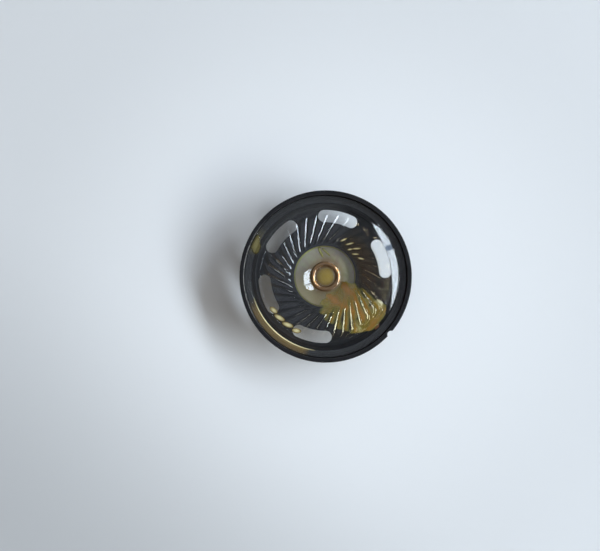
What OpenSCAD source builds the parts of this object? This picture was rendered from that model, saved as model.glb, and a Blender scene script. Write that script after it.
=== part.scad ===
// Miniature loudspeaker with a clear swirl-ribbed diaphragm, a moulded basket and a ring-magnet motor.
// Millimetres. Z runs from the rear of the magnet, at 0, to the front of the rim. X and Y cross the axis.

/* [Overall] */
// Outside diameter of the rim
frame_d = 50; // [44:0.5:62]
// Depth from the rear of the magnet to the front of the rim
depth = 16; // [15.2:0.1:21]

/* [Basket] */
// Width of the rim's front face
rim_wall = 1.3; // [1:0.1:2]
// Height of the rim's cylindrical band
rim_h = 4.2; // [3.9:0.1:5]
// How far the band stands out past the spigot behind it
flange_overhang = 2.1; // [1.5:0.1:2.6]
// Length of the cylindrical spigot behind the rim
spigot_h = 1.6; // [1:0.1:2.2]
// Depth of the diaphragm's ledge below the rim
ledge_depth = 2.6; // [2.4:0.05:3]
// Width of the diaphragm's ledge
ledge_w = 2.2; // [2:0.05:2.4]
// Thickness of the basket's floor
floor_t = 1; // [0.8:0.1:1.4]
// Height of the floor above the top plate
floor_rise = 1.4; // [1.1:0.1:2]
// How far the inner wall draws in between the ledge and the floor
wall_draft = 0.6; // [0.3:0.05:0.9]
// Thickness of the wall at its foot
wall_t = 1.2; // [0.9:0.1:1.6]
// Thickness of the hub's collar round the top plate
collar_t = 1.75; // [1.2:0.05:2]
// Width of the lip that the top plate seats against
lip_w = 1; // [0.6:0.1:1.4]
// Width of the locating notch in the rim
notch_w = 2.2; // [1.4:0.1:3]
// Depth of the locating notch
notch_depth = 0.75; // [0.5:0.05:1]
// Direction of the locating notch
notch_angle = -41.6; // [-60:0.1:-30]

/* [Vent slots] */
// Number of vent slots in the floor
slot_count = 6; // [4:1:6]
// Width of a slot
slot_w = 3.7; // [2.6:0.1:3.9]
// Angle that a slot spans, round ends included
slot_span = 38; // [28:1:46]
// Gap between the slots and the foot of the wall
slot_margin = 1; // [0.6:0.1:2]

/* [Motor] */
// Diameter of the ring magnet
magnet_d = 22; // [19:0.5:24]
// Thickness of the ring magnet
magnet_t = 3.6; // [2.6:0.1:4.4]
// Diameter of the magnet's bore
magnet_bore_d = 10.4; // [9.6:0.1:12]
// Diameter of the back plate
back_plate_d = 20; // [17:0.5:21]
// Thickness of the back plate
back_plate_t = 1.4; // [1:0.1:1.8]
// Diameter of the top plate
top_plate_d = 20.4; // [18:0.2:21.6]
// Thickness of the top plate
top_plate_t = 1.6; // [1.2:0.1:2]
// Diameter of the pole piece
pole_d = 6; // [5:0.1:6.4]
// Diameter of the spigot that stakes the pole piece to the back plate
stake_d = 3.2; // [2:0.1:3.6]

/* [Voice coil] */
// Clearance between the pole piece and the coil former
pole_gap = 0.35; // [0.2:0.05:0.45]
// Wall of the coil former
former_t = 0.15; // [0.1:0.05:0.25]
// Radial build of the winding
winding_t = 0.6; // [0.4:0.05:0.8]
// Height of the winding
winding_h = 2.2; // [1.6:0.1:2.6]
// Clearance between the winding and the top plate
coil_gap = 0.4; // [0.25:0.05:0.5]
// Half width of the bead that carries the coil
bead_half_w = 0.85; // [0.7:0.05:0.95]
// Height of that bead
bead_h = 0.55; // [0.3:0.05:0.6]

/* [Diaphragm] */
// Thickness of the film
film_t = 0.15; // [0.1:0.05:0.2]
// Rise of the film's arch between the coil and the rim
arch_rise = 1.8; // [1.4:0.1:2]
// Width of the film's flat edge
film_edge_w = 1.75; // [1.6:0.05:1.9]
// Height of the dome inside the coil
dome_h = 0.45; // [0.2:0.05:0.6]
// Thickness of the seat ring under the film's edge
seat_t = 0.2; // [0.1:0.05:0.3]
// Radius where the moving cone ends and the surround starts
cone_r = 18.95; // [18.6:0.05:19.4]

/* [Swirl ribs] */
// Number of ribs
rib_count = 36; // [24:1:36]
// Radius where the ribs start
rib_r1 = 10.4; // [9.8:0.1:12]
// Radius where the ribs end
rib_r2 = 18.3; // [16:0.1:18.4]
// Height of a rib
rib_h = 0.3; // [0.15:0.05:0.35]
// Radius of the circle that the straight lines of the ribs touch
rib_tangent_r = 6.5; // [0:0.1:8]
// Direction of the first rib at its inner end
rib_phase = 6.7; // [0:0.1:10]

/* [Leads and terminals] */
// Diameter of a lead wire
lead_d = 0.22; // [0.16:0.02:0.3]
// Direction in which the leads leave the film
lead_angle = -45; // [-50:1:-40]
// Half of the angle between the leads where they leave the coil
lead_spread = 32; // [20:1:34]
// Angle by which the pair leans clockwise at the coil
lead_skew = 8; // [0:0.5:10]
// Direction of the terminal board and of the slot that it covers
board_angle = -42.5; // [-45:0.5:-40]
// Width of the terminal board
board_w = 8; // [7.4:0.1:9]
// Thickness of the terminal board
board_t = 0.8; // [0.6:0.1:1.2]
// Width of a solder tag
tag_w = 2.2; // [1.8:0.1:2.4]
// Thickness of a solder tag
tag_t = 0.35; // [0.25:0.05:0.5]
// Distance between the two tags
tag_pitch = 4.6; // [4:0.1:5]

/* [Hidden] */
$fn = 96;

// Clearances and small finishing sizes
fit_gap = 0.05;
seat_gap = 0.15;
glue_gap = 0.03;
edge_chamfer = 0.3;
plate_chamfer = 0.15;
rivet_chamfer = 0.15;
edge_r = 0.3;
inner_edge_r = 0.2;
foot_r = 0.5;
edge_steps = 4;
// Length by which a cut passes the face that it opens
past = 0.5;

// Heights, from the rear
magnet_z = back_plate_t;
top_plate_z = magnet_z + magnet_t;
top_plate_front = top_plate_z + top_plate_t;
floor_rear = top_plate_front + floor_rise;
floor_front = floor_rear + floor_t;
ledge_z = depth - ledge_depth;
flange_rear = depth - rim_h;
spigot_rear = flange_rear - spigot_h;
film_edge_z = ledge_z + seat_t + film_t / 2;
collar_rear = film_edge_z - 0.7;
hub_rear = top_plate_z + 2 * fit_gap;
stake_rear = 0.15;

// Radii, from the rim inwards
rim_r = frame_d / 2;
rim_in = rim_r - rim_wall;
ledge_in = rim_in - ledge_w;
spigot_r = rim_r - flange_overhang;
wall_foot = ledge_in - wall_draft;
slot_out = wall_foot - slot_margin;
slot_mid = slot_out - slot_w / 2;
pocket_r = top_plate_d / 2 + fit_gap;
lip_r = pocket_r - lip_w;
hub_r = pocket_r + collar_t;

// Voice coil, from the pole piece outwards
pole_r = pole_d / 2;
former_in = pole_r + pole_gap;
former_out = former_in + former_t;
winding_out = former_out + winding_t;
gap_r = winding_out + coil_gap;
winding_z = top_plate_z + top_plate_t / 2 - winding_h / 2;
former_tail = 0.3;
collar_inset = 0.18;

// Film: a flat edge, one broad arch, a bead over the coil and a dome inside it
film_out = rim_in - seat_gap;
arch_out = film_out - film_edge_w;
bead_r = former_out + 0.2;
bead_in = bead_r - bead_half_w;
arch_in = bead_r + bead_half_w;
arch_mid = (arch_in + arch_out) / 2;
arch_half = (arch_out - arch_in) / 2;
arch_radius = (arch_half * arch_half + arch_rise * arch_rise) / (2 * arch_rise);
bead_radius = (bead_half_w * bead_half_w + bead_h * bead_h) / (2 * bead_h);
dome_pip_r = 0.18;
dome_pip_h = 0.1;
profile_step = 0.9;
bead_steps = 10;

function arc_rise(offset, radius, half) =
    sqrt(radius * radius - offset * offset) - sqrt(radius * radius - half * half);

// Height of the film's middle surface at radius r
function film_z(r) =
    r < bead_in ? film_edge_z + dome_h * (1 - pow(r / bead_in, 2)) :
    r < arch_in ? film_edge_z + arc_rise(r - bead_r, bead_radius, bead_half_w) :
    r < arch_out ? film_edge_z + arc_rise(r - arch_mid, arch_radius, arch_half) :
    film_edge_z;

function film_slope(r) =
    let (h = 0.001)
    (film_z(r + h) - film_z(r - h)) / (2 * h);

// Point at a distance off the film's middle surface, along its normal
function film_point(r, off) =
    let (s = film_slope(r), k = sqrt(1 + s * s))
    [max(0, r - off * s / k), film_z(r) + off / k];

function stations(from, to, steps) = [for (i = [0 : steps]) from + (to - from) * i / steps];

function steps_over(from, to, step) = max(1, ceil((to - from) / step));

// Closed outline between two surfaces that follow the film over a list of radii
function film_outline(radii, upper, lower) =
    concat(
        [for (r = radii) film_point(r, upper)],
        [for (i = [len(radii) - 1 : -1 : 0]) film_point(radii[i], lower)]
    );

// Swirl-ribbed band of the film
rib_samples = 6;
rib_profile = [1, 0.89, 0.56, 0, 0.56, 0.89];
rib_margin = 0.3;
lip_grip = 0.1;
lip_extra = 0.03;
glue_bead_w = 0.35;
glue_bead_h = 0.3;
around = rib_count * rib_samples;
rib_stations = [-0.045, 0.03, 0.12, 0.26, 0.42, 0.58, 0.74, 0.88, 0.97, 1.03];
smooth_end = rib_r1 - rib_margin;

function rib_station_r(t) = rib_r1 + (rib_r2 - rib_r1) * t;

band_radii = concat([for (t = rib_stations) rib_station_r(t)], [cone_r]);

// Rib height along its length, with rounded ends
function rib_taper(r) =
    let (t = (r - rib_r1) / (rib_r2 - rib_r1))
    t <= 0 || t >= 1 ? 0 : pow(sin(180 * t), 0.5);

function rib_angle(r) = rib_phase + acos(rib_tangent_r / rib_r1) - acos(rib_tangent_r / r);

function band_point(r, j, off) =
    let (
        a = rib_angle(r) + 360 * j / around,
        lift = rib_h * rib_taper(r) * rib_profile[j % rib_samples]
    )
    [r * cos(a), r * sin(a), film_z(r) + lift + off];

// Leads: under the film from the coil to the rim, down the wall, through the slot and on to the tags
lead_r = lead_d / 2;
adhesive_gap = 0.05;
adhesive_t = 0.14;
lead_drop = film_t / 2 + 2 * adhesive_gap + adhesive_t + lead_r + glue_gap;
lead_start_r = arch_in + 0.12;
lead_film_end = arch_out - 0.95;
lead_wall_gap = 0.5;
lead_steps = 12;
lead_sides = 6;
lead_ease = 2.7;
lead_settle = 0.55;
seal_r = 0.8;
seal_z = ledge_z - 1.1;

// Adhesive patch: its outline has X along the direction in which the leads leave
patch_in = arch_in + 1.2;
patch_out = arch_out - 1.1;
patch_outline = [
    [2, -3.6], [6, -8.4], [8.3, -9.4], [13.7, -6.9], [21.5, -1.2],
    [21.5, 5.5], [19.5, 6.7], [11.2, 5.6], [2, 3]
];

// Terminal board, in its own frame with X outwards from the axis
board_in = hub_r + 0.7;
board_out = slot_out - 0.55;
board_corner = 0.8;
board_rear = floor_rear - board_t;
tag_rear = board_rear - tag_t;
tag_rivet_x = sqrt(slot_mid * slot_mid - tag_pitch * tag_pitch / 4);
tag_in = tag_rivet_x - tag_w / 2;
tag_out = spigot_r - 0.8;
tag_hole_r = 0.5;
tag_rivet_r = 0.65;
tag_head_r = 1.0;
board_rivet_x = board_in + 1.4;
board_rivet_pitch = 5.2;
board_rivet_r = 0.75;
board_head_r = 1.2;
head_h = 0.35;
solder_r = 0.5;
solder_h = 0.45;
solder_x = board_out + solder_r + 0.1;
solder_steps = 5;

// Points of a rounded corner
function corner(x, y, r, from, to) =
    [for (a = stations(from, to, edge_steps)) [x + r * cos(a), y + r * sin(a)]];

// Wall of the cavity at height z
function wall_in(z) =
    wall_foot + wall_draft * (z - floor_front) / (ledge_z - floor_front);

// Turns a point by the angle a about the axis, at height z
function turned(x, y, a, z) = [x * cos(a) - y * sin(a), x * sin(a) + y * cos(a), z];

// Route of one lead. side is 1 or -1
function lead_route(side) =
    let (
        mid_z = (floor_front + film_edge_z) / 2,
        y = side * lead_d
    )
    concat(
        [for (i = [0 : lead_steps])
            let (
                t = i / lead_steps,
                r = lead_start_r + (lead_film_end - lead_start_r) * t,
                turn_in = pow(1 - t, lead_ease),
                a = lead_angle - lead_skew * turn_in + side * (lead_spread * turn_in + lead_settle)
            )
            turned(r, 0, a, film_z(r) - lead_drop)],
        [
            turned(wall_in(mid_z) - lead_wall_gap, 1.2 * y, lead_angle, mid_z + 0.5),
            turned(slot_out - 0.1, 1.5 * y, lead_angle / 2 + board_angle / 2, floor_front + 0.5),
            turned(board_out + 0.28, 2 * y, board_angle, floor_rear + floor_t / 2),
            turned(board_out + 0.28, 2.4 * y, board_angle, board_rear + board_t / 2),
            turned(board_out + 0.4, 3 * y, board_angle, tag_rear - 0.1),
            turned(solder_x, side * (tag_pitch / 2 - solder_r - lead_r), board_angle, tag_rear - 0.25)
        ]
    );

function unit(v) = v / norm(v);

function route_heading(p, i) =
    i == 0 ? unit(p[1] - p[0]) :
    i == len(p) - 1 ? unit(p[i] - p[i - 1]) :
    unit(unit(p[i + 1] - p[i]) + unit(p[i] - p[i - 1]));

// Side vector of a ring, kept square to the heading and close to level
function ring_side(h) = unit(cross(h, [sin(lead_angle), -cos(lead_angle), 0]));

// Round tube swept along a list of points
module tube(p, r, sides) {
    points = [
        for (i = [0 : len(p) - 1])
            let (h = route_heading(p, i), u = ring_side(h), v = cross(h, u))
            for (j = [0 : sides - 1])
                p[i] + r * (cos(360 * j / sides) * u + sin(360 * j / sides) * v)
    ];
    walls = [
        for (i = [0 : len(p) - 2], j = [0 : sides - 1])
            let (a = i * sides + j, b = i * sides + (j + 1) % sides)
            each [[b + sides, b, a], [a + sides, b + sides, a]]
    ];
    last = (len(p) - 1) * sides;
    caps = [
        [for (j = [0 : sides - 1]) j],
        [for (j = [sides - 1 : -1 : 0]) last + j]
    ];
    polyhedron(points, concat(walls, caps));
}

// Plate with rounded corners between two corners in plan
module rounded_plate(x0, x1, y0, y1, corner, height) {
    linear_extrude(height) {
        translate([x0 + corner, y0]) square([x1 - x0 - 2 * corner, y1 - y0]);
        translate([x0, y0 + corner]) square([x1 - x0, y1 - y0 - 2 * corner]);
        for (x = [x0 + corner, x1 - corner], y = [y0 + corner, y1 - corner])
            translate([x, y]) circle(corner);
    }
}

// Disc with a chamfer on both edges and an optional bore
module chamfered_ring(r_out, r_in, height, chamfer) {
    rotate_extrude()
        polygon([
            [r_in, 0], [r_out - chamfer, 0], [r_out, chamfer],
            [r_out, height - chamfer], [r_out - chamfer, height], [r_in, height]
        ]);
}

// Curved slot with round ends, centred on the X axis
module vent_slot() {
    cap_angle = asin(slot_w / 2 / slot_mid);
    sweep = slot_span - 2 * cap_angle;
    translate([0, 0, floor_rear - past])
        rotate([0, 0, -sweep / 2])
            rotate_extrude(angle = sweep)
                translate([slot_mid - slot_w / 2, 0])
                    square([slot_w, floor_t + 2 * past]);
    for (side = [-1, 1])
        rotate([0, 0, side * sweep / 2])
            translate([slot_mid, 0, floor_rear - past])
                cylinder(h = floor_t + 2 * past, d = slot_w);
}

module rivet_holes(x, pitch, r, z, height) {
    for (side = [-1, 1])
        translate([x, side * pitch / 2, z]) cylinder(h = height, r = r);
}

// Rivet with a flat head at each end, from z0 to z1 between the heads
module rivet(r, head_r, z0, z1) {
    rotate_extrude()
        polygon([
            [0, z0 - head_h], [head_r - rivet_chamfer, z0 - head_h],
            [head_r, z0 - head_h + rivet_chamfer], [head_r, z0], [r, z0], [r, z1], [head_r, z1],
            [head_r, z1 + head_h - rivet_chamfer], [head_r - rivet_chamfer, z1 + head_h],
            [0, z1 + head_h]
        ]);
}

// Section of the basket, from the lip outwards along the rear and back along the front
function basket_outline() =
    concat(
        [[lip_r, top_plate_front], [pocket_r, top_plate_front], [pocket_r, hub_rear]],
        corner(hub_r - edge_r, hub_rear + edge_r, edge_r, -90, 0),
        corner(hub_r + edge_r, floor_rear - edge_r, edge_r, 180, 90),
        corner(wall_foot + wall_t - edge_r, floor_rear + edge_r, edge_r, -90, -20),
        [[spigot_r, spigot_rear], [spigot_r, flange_rear]],
        corner(rim_r - edge_r, flange_rear + edge_r, edge_r, -90, 0),
        corner(rim_r - edge_r, depth - edge_r, edge_r, 0, 90),
        corner(rim_in + inner_edge_r, depth - inner_edge_r, inner_edge_r, 90, 180),
        [[rim_in, ledge_z]],
        corner(ledge_in + inner_edge_r, ledge_z - inner_edge_r, inner_edge_r, 90, 170),
        corner(wall_foot - foot_r, floor_front + foot_r, foot_r, 0, -90),
        corner(lip_r + edge_r, floor_front - edge_r, edge_r, 90, 180)
    );

module basket() {
    color("#1c1d1f")
    difference() {
        rotate_extrude() polygon(basket_outline());
        for (i = [0 : slot_count - 1])
            rotate([0, 0, board_angle + i * 360 / slot_count]) vent_slot();
        rotate([0, 0, notch_angle])
            translate([rim_r + notch_w / 2 - notch_depth, 0, flange_rear - past])
                cylinder(h = rim_h + 2 * past, d = notch_w);
        rotate([0, 0, board_angle])
            rivet_holes(board_rivet_x, board_rivet_pitch, board_rivet_r + fit_gap, floor_rear - past,
                floor_t + 2 * past);
    }
}

module back_plate() {
    color("#9a9a90") chamfered_ring(back_plate_d / 2, stake_d / 2 + fit_gap, back_plate_t, edge_chamfer);
}

module pole_piece() {
    color("#8f8b52")
    rotate_extrude()
        polygon([
            [0, stake_rear], [stake_d / 2, stake_rear], [stake_d / 2, back_plate_t],
            [pole_r, back_plate_t], [pole_r, top_plate_front - edge_chamfer],
            [pole_r - edge_chamfer, top_plate_front], [0, top_plate_front]
        ]);
}

module ring_magnet() {
    color("#3a3b3e")
    translate([0, 0, magnet_z])
        chamfered_ring(magnet_d / 2, magnet_bore_d / 2, magnet_t, edge_chamfer);
}

module top_plate() {
    color("#a3a698")
    translate([0, 0, top_plate_z])
        chamfered_ring(top_plate_d / 2, gap_r, top_plate_t, plate_chamfer);
}

module top_plate_glue_bead() {
    color("#c9c48a")
    rotate_extrude()
        polygon([
            [lip_r - glue_bead_w, top_plate_front], [lip_r - glue_gap, top_plate_front],
            [lip_r - glue_gap, top_plate_front + glue_bead_h]
        ]);
}

module coil_former() {
    color("#9c6b33")
    translate([0, 0, winding_z - former_tail])
        difference() {
            cylinder(h = collar_rear - winding_z + former_tail, r = former_out);
            translate([0, 0, -past]) cylinder(h = depth, r = former_in);
        }
}

module voice_coil() {
    color("#b5683c")
    translate([0, 0, winding_z])
        difference() {
            cylinder(h = winding_h, r = winding_out);
            translate([0, 0, -past]) cylinder(h = winding_h + 2 * past, r = former_out);
        }
}

// Lacquered ring that joins the former to the film's bead
module coil_collar() {
    collar_half = bead_half_w - collar_inset;
    radii = stations(bead_r - collar_half, bead_r + collar_half, bead_steps);
    crown = [for (r = radii) film_point(r, -film_t / 2 - glue_gap)];
    color("#b9714a")
    rotate_extrude()
        polygon(concat(
            crown,
            [[crown[len(crown) - 1][0], collar_rear], [crown[0][0], collar_rear]]
        ));
}

// Smooth centre of the film, with a lip that grips the ribbed band
module film_centre() {
    radii = concat(
        stations(0, bead_in, 4),
        [for (r = stations(bead_in, arch_in, bead_steps)) if (r > bead_in) r],
        [for (r = stations(arch_in, smooth_end, 8)) if (r > arch_in) r]
    );
    rotate_extrude()
        polygon(film_outline(radii, film_t / 2, -film_t / 2));
    rotate_extrude()
        polygon(film_outline(
            stations(smooth_end - lip_grip, smooth_end + lip_grip, 1),
            film_t / 2 + lip_extra, -film_t / 2 - lip_extra
        ));
    translate([0, 0, film_z(0)]) cylinder(h = film_t / 2 + dome_pip_h, r = dome_pip_r);
}

// Ribbed band, as one closed skin
module ribbed_band() {
    rings = len(band_radii);
    points = [
        for (off = [film_t / 2, -film_t / 2], r = band_radii, j = [0 : around - 1])
            band_point(r, j, off)
    ];
    under = rings * around;
    top_faces = [
        for (i = [0 : rings - 2], j = [0 : around - 1])
            let (a = i * around + j, b = i * around + (j + 1) % around)
            each [[a, b, b + around], [a, b + around, a + around]]
    ];
    bottom_faces = [for (f = top_faces) [f[2] + under, f[1] + under, f[0] + under]];
    inner_faces = [
        for (j = [0 : around - 1])
            let (a = j, b = (j + 1) % around)
            each [[b, a, a + under], [b, a + under, b + under]]
    ];
    outer_faces = [
        for (j = [0 : around - 1])
            let (a = (rings - 1) * around + j, b = (rings - 1) * around + (j + 1) % around)
            each [[a, b, b + under], [a, b + under, a + under]]
    ];
    polyhedron(points, concat(top_faces, bottom_faces, inner_faces, outer_faces));
}

module diaphragm_cone() {
    color("#c9d4dc", 0.35) {
        film_centre();
        ribbed_band();
    }
}

module diaphragm_surround() {
    surround_in = cone_r + fit_gap;
    radii = concat(
        stations(surround_in, arch_out, steps_over(surround_in, arch_out, profile_step)), [film_out]
    );
    color("#c9d4dc", 0.35)
    rotate_extrude()
        polygon(film_outline(radii, film_t / 2, -film_t / 2));
}

module diaphragm_seat_ring() {
    color("#2b2a28")
    translate([0, 0, ledge_z])
        difference() {
            cylinder(h = seat_t, r = film_out);
            translate([0, 0, -past]) cylinder(h = seat_t + 2 * past, r = arch_out);
        }
}

module lead_wire(side) {
    tube(lead_route(side), lead_r, lead_sides);
}

module lead_wire_positive() {
    color("#8a4b1f") lead_wire(1);
}

module lead_wire_negative() {
    color("#7a3f1a") lead_wire(-1);
}

// Thin amber patch under the film that holds the leads
module lead_adhesive() {
    upper = -film_t / 2 - adhesive_gap;
    radii = stations(patch_in, patch_out, steps_over(patch_in, patch_out, profile_step));
    color("#b98a3a", 0.6)
    intersection() {
        rotate_extrude()
            polygon(film_outline(radii, upper, upper - adhesive_t));
        rotate([0, 0, lead_angle])
            linear_extrude(depth) polygon(patch_outline);
    }
}

// Drop that holds both leads to the wall
module lead_exit_sealant() {
    color("#8c3f2a")
    difference() {
        rotate([0, 0, lead_angle])
            translate([wall_in(seal_z) - seal_r - 2 * fit_gap, 0, seal_z]) sphere(r = seal_r);
        for (side = [-1, 1]) tube(lead_route(side), lead_r + glue_gap, lead_sides);
    }
}

module terminal_board() {
    color("#a98252")
    rotate([0, 0, board_angle])
        difference() {
            translate([0, 0, board_rear])
                rounded_plate(board_in, board_out, -board_w / 2, board_w / 2, board_corner, board_t);
            rivet_holes(board_rivet_x, board_rivet_pitch, board_rivet_r + fit_gap, board_rear - past,
                board_t + 2 * past);
            rivet_holes(tag_rivet_x, tag_pitch, tag_rivet_r + fit_gap, board_rear - past, board_t + 2 * past);
        }
}

module board_rivets() {
    color("#c2a14e")
    rotate([0, 0, board_angle])
        for (side = [-1, 1])
            translate([board_rivet_x, side * board_rivet_pitch / 2, 0])
                rivet(board_rivet_r, board_head_r, board_rear, floor_front);
}

module terminal_tag(side) {
    y = side * tag_pitch / 2;
    rotate([0, 0, board_angle])
        difference() {
            translate([0, 0, tag_rear])
                rounded_plate(tag_in, tag_out, y - tag_w / 2, y + tag_w / 2, tag_w / 3, tag_t);
            translate([tag_rivet_x, y, tag_rear - past])
                cylinder(h = tag_t + 2 * past, r = tag_rivet_r + fit_gap);
            translate([tag_out - tag_w / 2, y, tag_rear - past])
                cylinder(h = tag_t + 2 * past, r = tag_hole_r);
        }
}

module terminal_tag_positive() {
    color("#c9c3ae") terminal_tag(1);
}

module terminal_tag_negative() {
    color("#c9c3ae") terminal_tag(-1);
}

module tag_rivets() {
    color("#c2a14e")
    rotate([0, 0, board_angle])
        for (side = [-1, 1])
            translate([tag_rivet_x, side * tag_pitch / 2, 0])
                rivet(tag_rivet_r, tag_head_r, tag_rear, floor_rear);
}

// Rounded drops on the rear of the tags
module solder_joints() {
    drop = [for (a = stations(-90, 0, solder_steps)) [solder_r * cos(a), solder_h * sin(a)]];
    color("#b9bcc0")
    rotate([0, 0, board_angle])
        for (side = [-1, 1])
            translate([solder_x, side * tag_pitch / 2, tag_rear])
                rotate_extrude() polygon(concat([[0, 0]], drop));
}

basket();
back_plate();
pole_piece();
ring_magnet();
top_plate();
top_plate_glue_bead();
coil_former();
voice_coil();
coil_collar();
diaphragm_cone();
diaphragm_surround();
diaphragm_seat_ring();
lead_wire_positive();
lead_wire_negative();
lead_adhesive();
lead_exit_sealant();
terminal_board();
board_rivets();
terminal_tag_positive();
terminal_tag_negative();
tag_rivets();
solder_joints();
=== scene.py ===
"""Miniature loudspeaker: the finish and fine detail of every piece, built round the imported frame."""

import logging
import math
from collections.abc import Callable, Sequence
from dataclasses import dataclass
from enum import Enum

import bmesh
import bpy
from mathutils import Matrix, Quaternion, Vector


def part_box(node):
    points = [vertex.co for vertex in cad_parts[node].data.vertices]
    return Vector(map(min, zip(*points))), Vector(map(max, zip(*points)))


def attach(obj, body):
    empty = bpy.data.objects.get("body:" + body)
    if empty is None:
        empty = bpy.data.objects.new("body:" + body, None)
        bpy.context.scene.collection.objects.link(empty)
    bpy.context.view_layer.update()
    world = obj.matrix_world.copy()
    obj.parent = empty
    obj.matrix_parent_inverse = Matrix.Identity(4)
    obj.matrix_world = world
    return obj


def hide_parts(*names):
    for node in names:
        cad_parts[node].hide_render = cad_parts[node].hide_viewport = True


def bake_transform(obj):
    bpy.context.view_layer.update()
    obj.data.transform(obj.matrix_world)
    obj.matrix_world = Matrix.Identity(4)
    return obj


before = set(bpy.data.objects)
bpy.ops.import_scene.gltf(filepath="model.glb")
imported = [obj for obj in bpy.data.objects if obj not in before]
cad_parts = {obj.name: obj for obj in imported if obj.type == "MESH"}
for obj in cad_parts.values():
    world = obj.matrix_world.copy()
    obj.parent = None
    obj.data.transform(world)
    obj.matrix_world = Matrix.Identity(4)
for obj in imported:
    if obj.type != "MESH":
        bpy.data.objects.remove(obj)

LOG = logging.getLogger("loudspeaker")
MM = 0.001
HOUSING = "housing"
COIL_BODY = "voice_coil_assembly"
THINNEST = 0.02  # what a layer of glue measures where it ends, in millimetres

Point = tuple[float, float, float]
Outline = list[tuple[float, float]]
Colour = tuple[float, float, float]
Station = tuple[float, float, float, float, float]  # X, Y, upper height, lower height and depth of some glue


class Direction(Enum):
    """Which way round the axis a lead lies from the middle of the pair."""

    POSITIVE = 1
    NEGATIVE = -1


class Field:
    """A number that nodes work out, so that a rule in a node tree reads as a formula."""

    def __init__(self, tree: bpy.types.NodeTree, socket: bpy.types.NodeSocket) -> None:
        """Holds the tree and the output socket that carries the number."""
        self.tree = tree
        self.socket = socket

    def _math(self, operation: str, *values: "Field | float") -> "Field":
        """Adds one Math node.

        Args:
            operation: Blender's name of the operation.
            values: The node's inputs, in order.

        Returns:
            The node's result.
        """
        node = self.tree.nodes.new("ShaderNodeMath")
        node.operation = operation
        for socket, value in zip(node.inputs, values):
            if isinstance(value, Field):
                self.tree.links.new(value.socket, socket)
            else:
                socket.default_value = value
        return Field(self.tree, node.outputs[0])

    def __add__(self, other: "Field | float") -> "Field":
        """Sum."""
        return self._math("ADD", self, other)

    __radd__ = __add__

    def __sub__(self, other: "Field | float") -> "Field":
        """Difference."""
        return self._math("SUBTRACT", self, other)

    def __rsub__(self, other: float) -> "Field":
        """Difference from a constant."""
        return self._math("SUBTRACT", other, self)

    def __mul__(self, other: "Field | float") -> "Field":
        """Product."""
        return self._math("MULTIPLY", self, other)

    __rmul__ = __mul__

    def __truediv__(self, other: "Field | float") -> "Field":
        """Quotient."""
        return self._math("DIVIDE", self, other)

    def __pow__(self, exponent: float) -> "Field":
        """Power."""
        return self._math("POWER", self, exponent)

    def below(self, limit: "Field | float") -> "Field":
        """1 where the number is under the limit, else 0."""
        return self._math("LESS_THAN", self, limit)

    def least(self, floor: "Field | float") -> "Field":
        """The number, or the floor where that is higher."""
        return self._math("MAXIMUM", self, floor)

    def most(self, ceiling: "Field | float") -> "Field":
        """The number, or the ceiling where that is lower."""
        return self._math("MINIMUM", self, ceiling)

    def bearing(self, across: "Field") -> "Field":
        """Direction of a point in degrees, where this number is its Y and the other its X."""
        return self._math("ARCTAN2", self, across) * (180 / math.pi)

    def clamp(self) -> "Field":
        """The number, kept between 0 and 1."""
        return self.least(0.0).most(1.0)

    def root(self) -> "Field":
        """Square root, with anything under 0 taken as 0."""
        return self._math("SQRT", self.least(0.0))

    def size(self) -> "Field":
        """Absolute value."""
        return self._math("ABSOLUTE", self)

    def fraction(self) -> "Field":
        """What is left above the whole number."""
        return self._math("FRACT", self)

    def sine(self) -> "Field":
        """Sine of an angle in radians."""
        return self._math("SINE", self)

    def cosine(self) -> "Field":
        """Cosine of an angle in radians."""
        return self._math("COSINE", self)

    def arc_cosine(self) -> "Field":
        """Angle in radians that has this cosine."""
        return self._math("ARCCOSINE", self)

    def sign(self) -> "Field":
        """1 above 0, -1 under it."""
        return self._math("SIGN", self)

    def step(self, start: float, end: float) -> "Field":
        """Straight climb from 0 at the start to 1 at the end, flat outside."""
        return ((self - start) / (end - start)).clamp()

    def smooth(self, start: float, end: float) -> "Field":
        """Smooth step.

        Args:
            start: The number at which the step is 0.
            end: The number at which the step is 1.

        Returns:
            A number from 0 to 1.
        """
        node = self.tree.nodes.new("ShaderNodeMapRange")
        node.interpolation_type = "SMOOTHSTEP"
        self.tree.links.new(self.socket, node.inputs["Value"])
        node.inputs["From Min"].default_value = start
        node.inputs["From Max"].default_value = end
        return Field(self.tree, node.outputs["Result"])

    def band(self, start: float, full: float, fading: float, end: float) -> "Field":
        """1 between full and fading, and 0 before start and after end."""
        return self.smooth(start, full) * (1.0 - self.smooth(fading, end))


def choose(where: Field, inside: Field, outside: Field) -> Field:
    """Takes one number where a test is 1, and another where it is 0."""
    return where * inside + (1.0 - where) * outside


def mix_colours(tree: bpy.types.NodeTree, amount: Field, base: bpy.types.NodeSocket | Colour,
                over: Colour) -> bpy.types.NodeSocket:
    """Mixes two colours.

    Args:
        tree: The node tree.
        amount: Share of the second colour, from 0 to 1.
        base: The first colour, or the socket that carries it.
        over: The second colour.

    Returns:
        The mixed colour.
    """
    node = tree.nodes.new("ShaderNodeMix")
    node.data_type = "RGBA"
    sockets = {socket.identifier: socket for socket in node.inputs}
    tree.links.new(amount.socket, sockets["Factor_Float"])
    if isinstance(base, bpy.types.NodeSocket):
        tree.links.new(base, sockets["A_Color"])
    else:
        sockets["A_Color"].default_value = (*base, 1)
    sockets["B_Color"].default_value = (*over, 1)
    return next(socket for socket in node.outputs if socket.identifier == "Result_Color")


def add_object(name: str, data: bpy.types.ID) -> bpy.types.Object:
    """Makes an object and puts it in the scene.

    Args:
        name: Its name.
        data: What it holds.

    Returns:
        The object.
    """
    added = bpy.data.objects.new(name, data)
    bpy.context.collection.objects.link(added)
    return added


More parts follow.
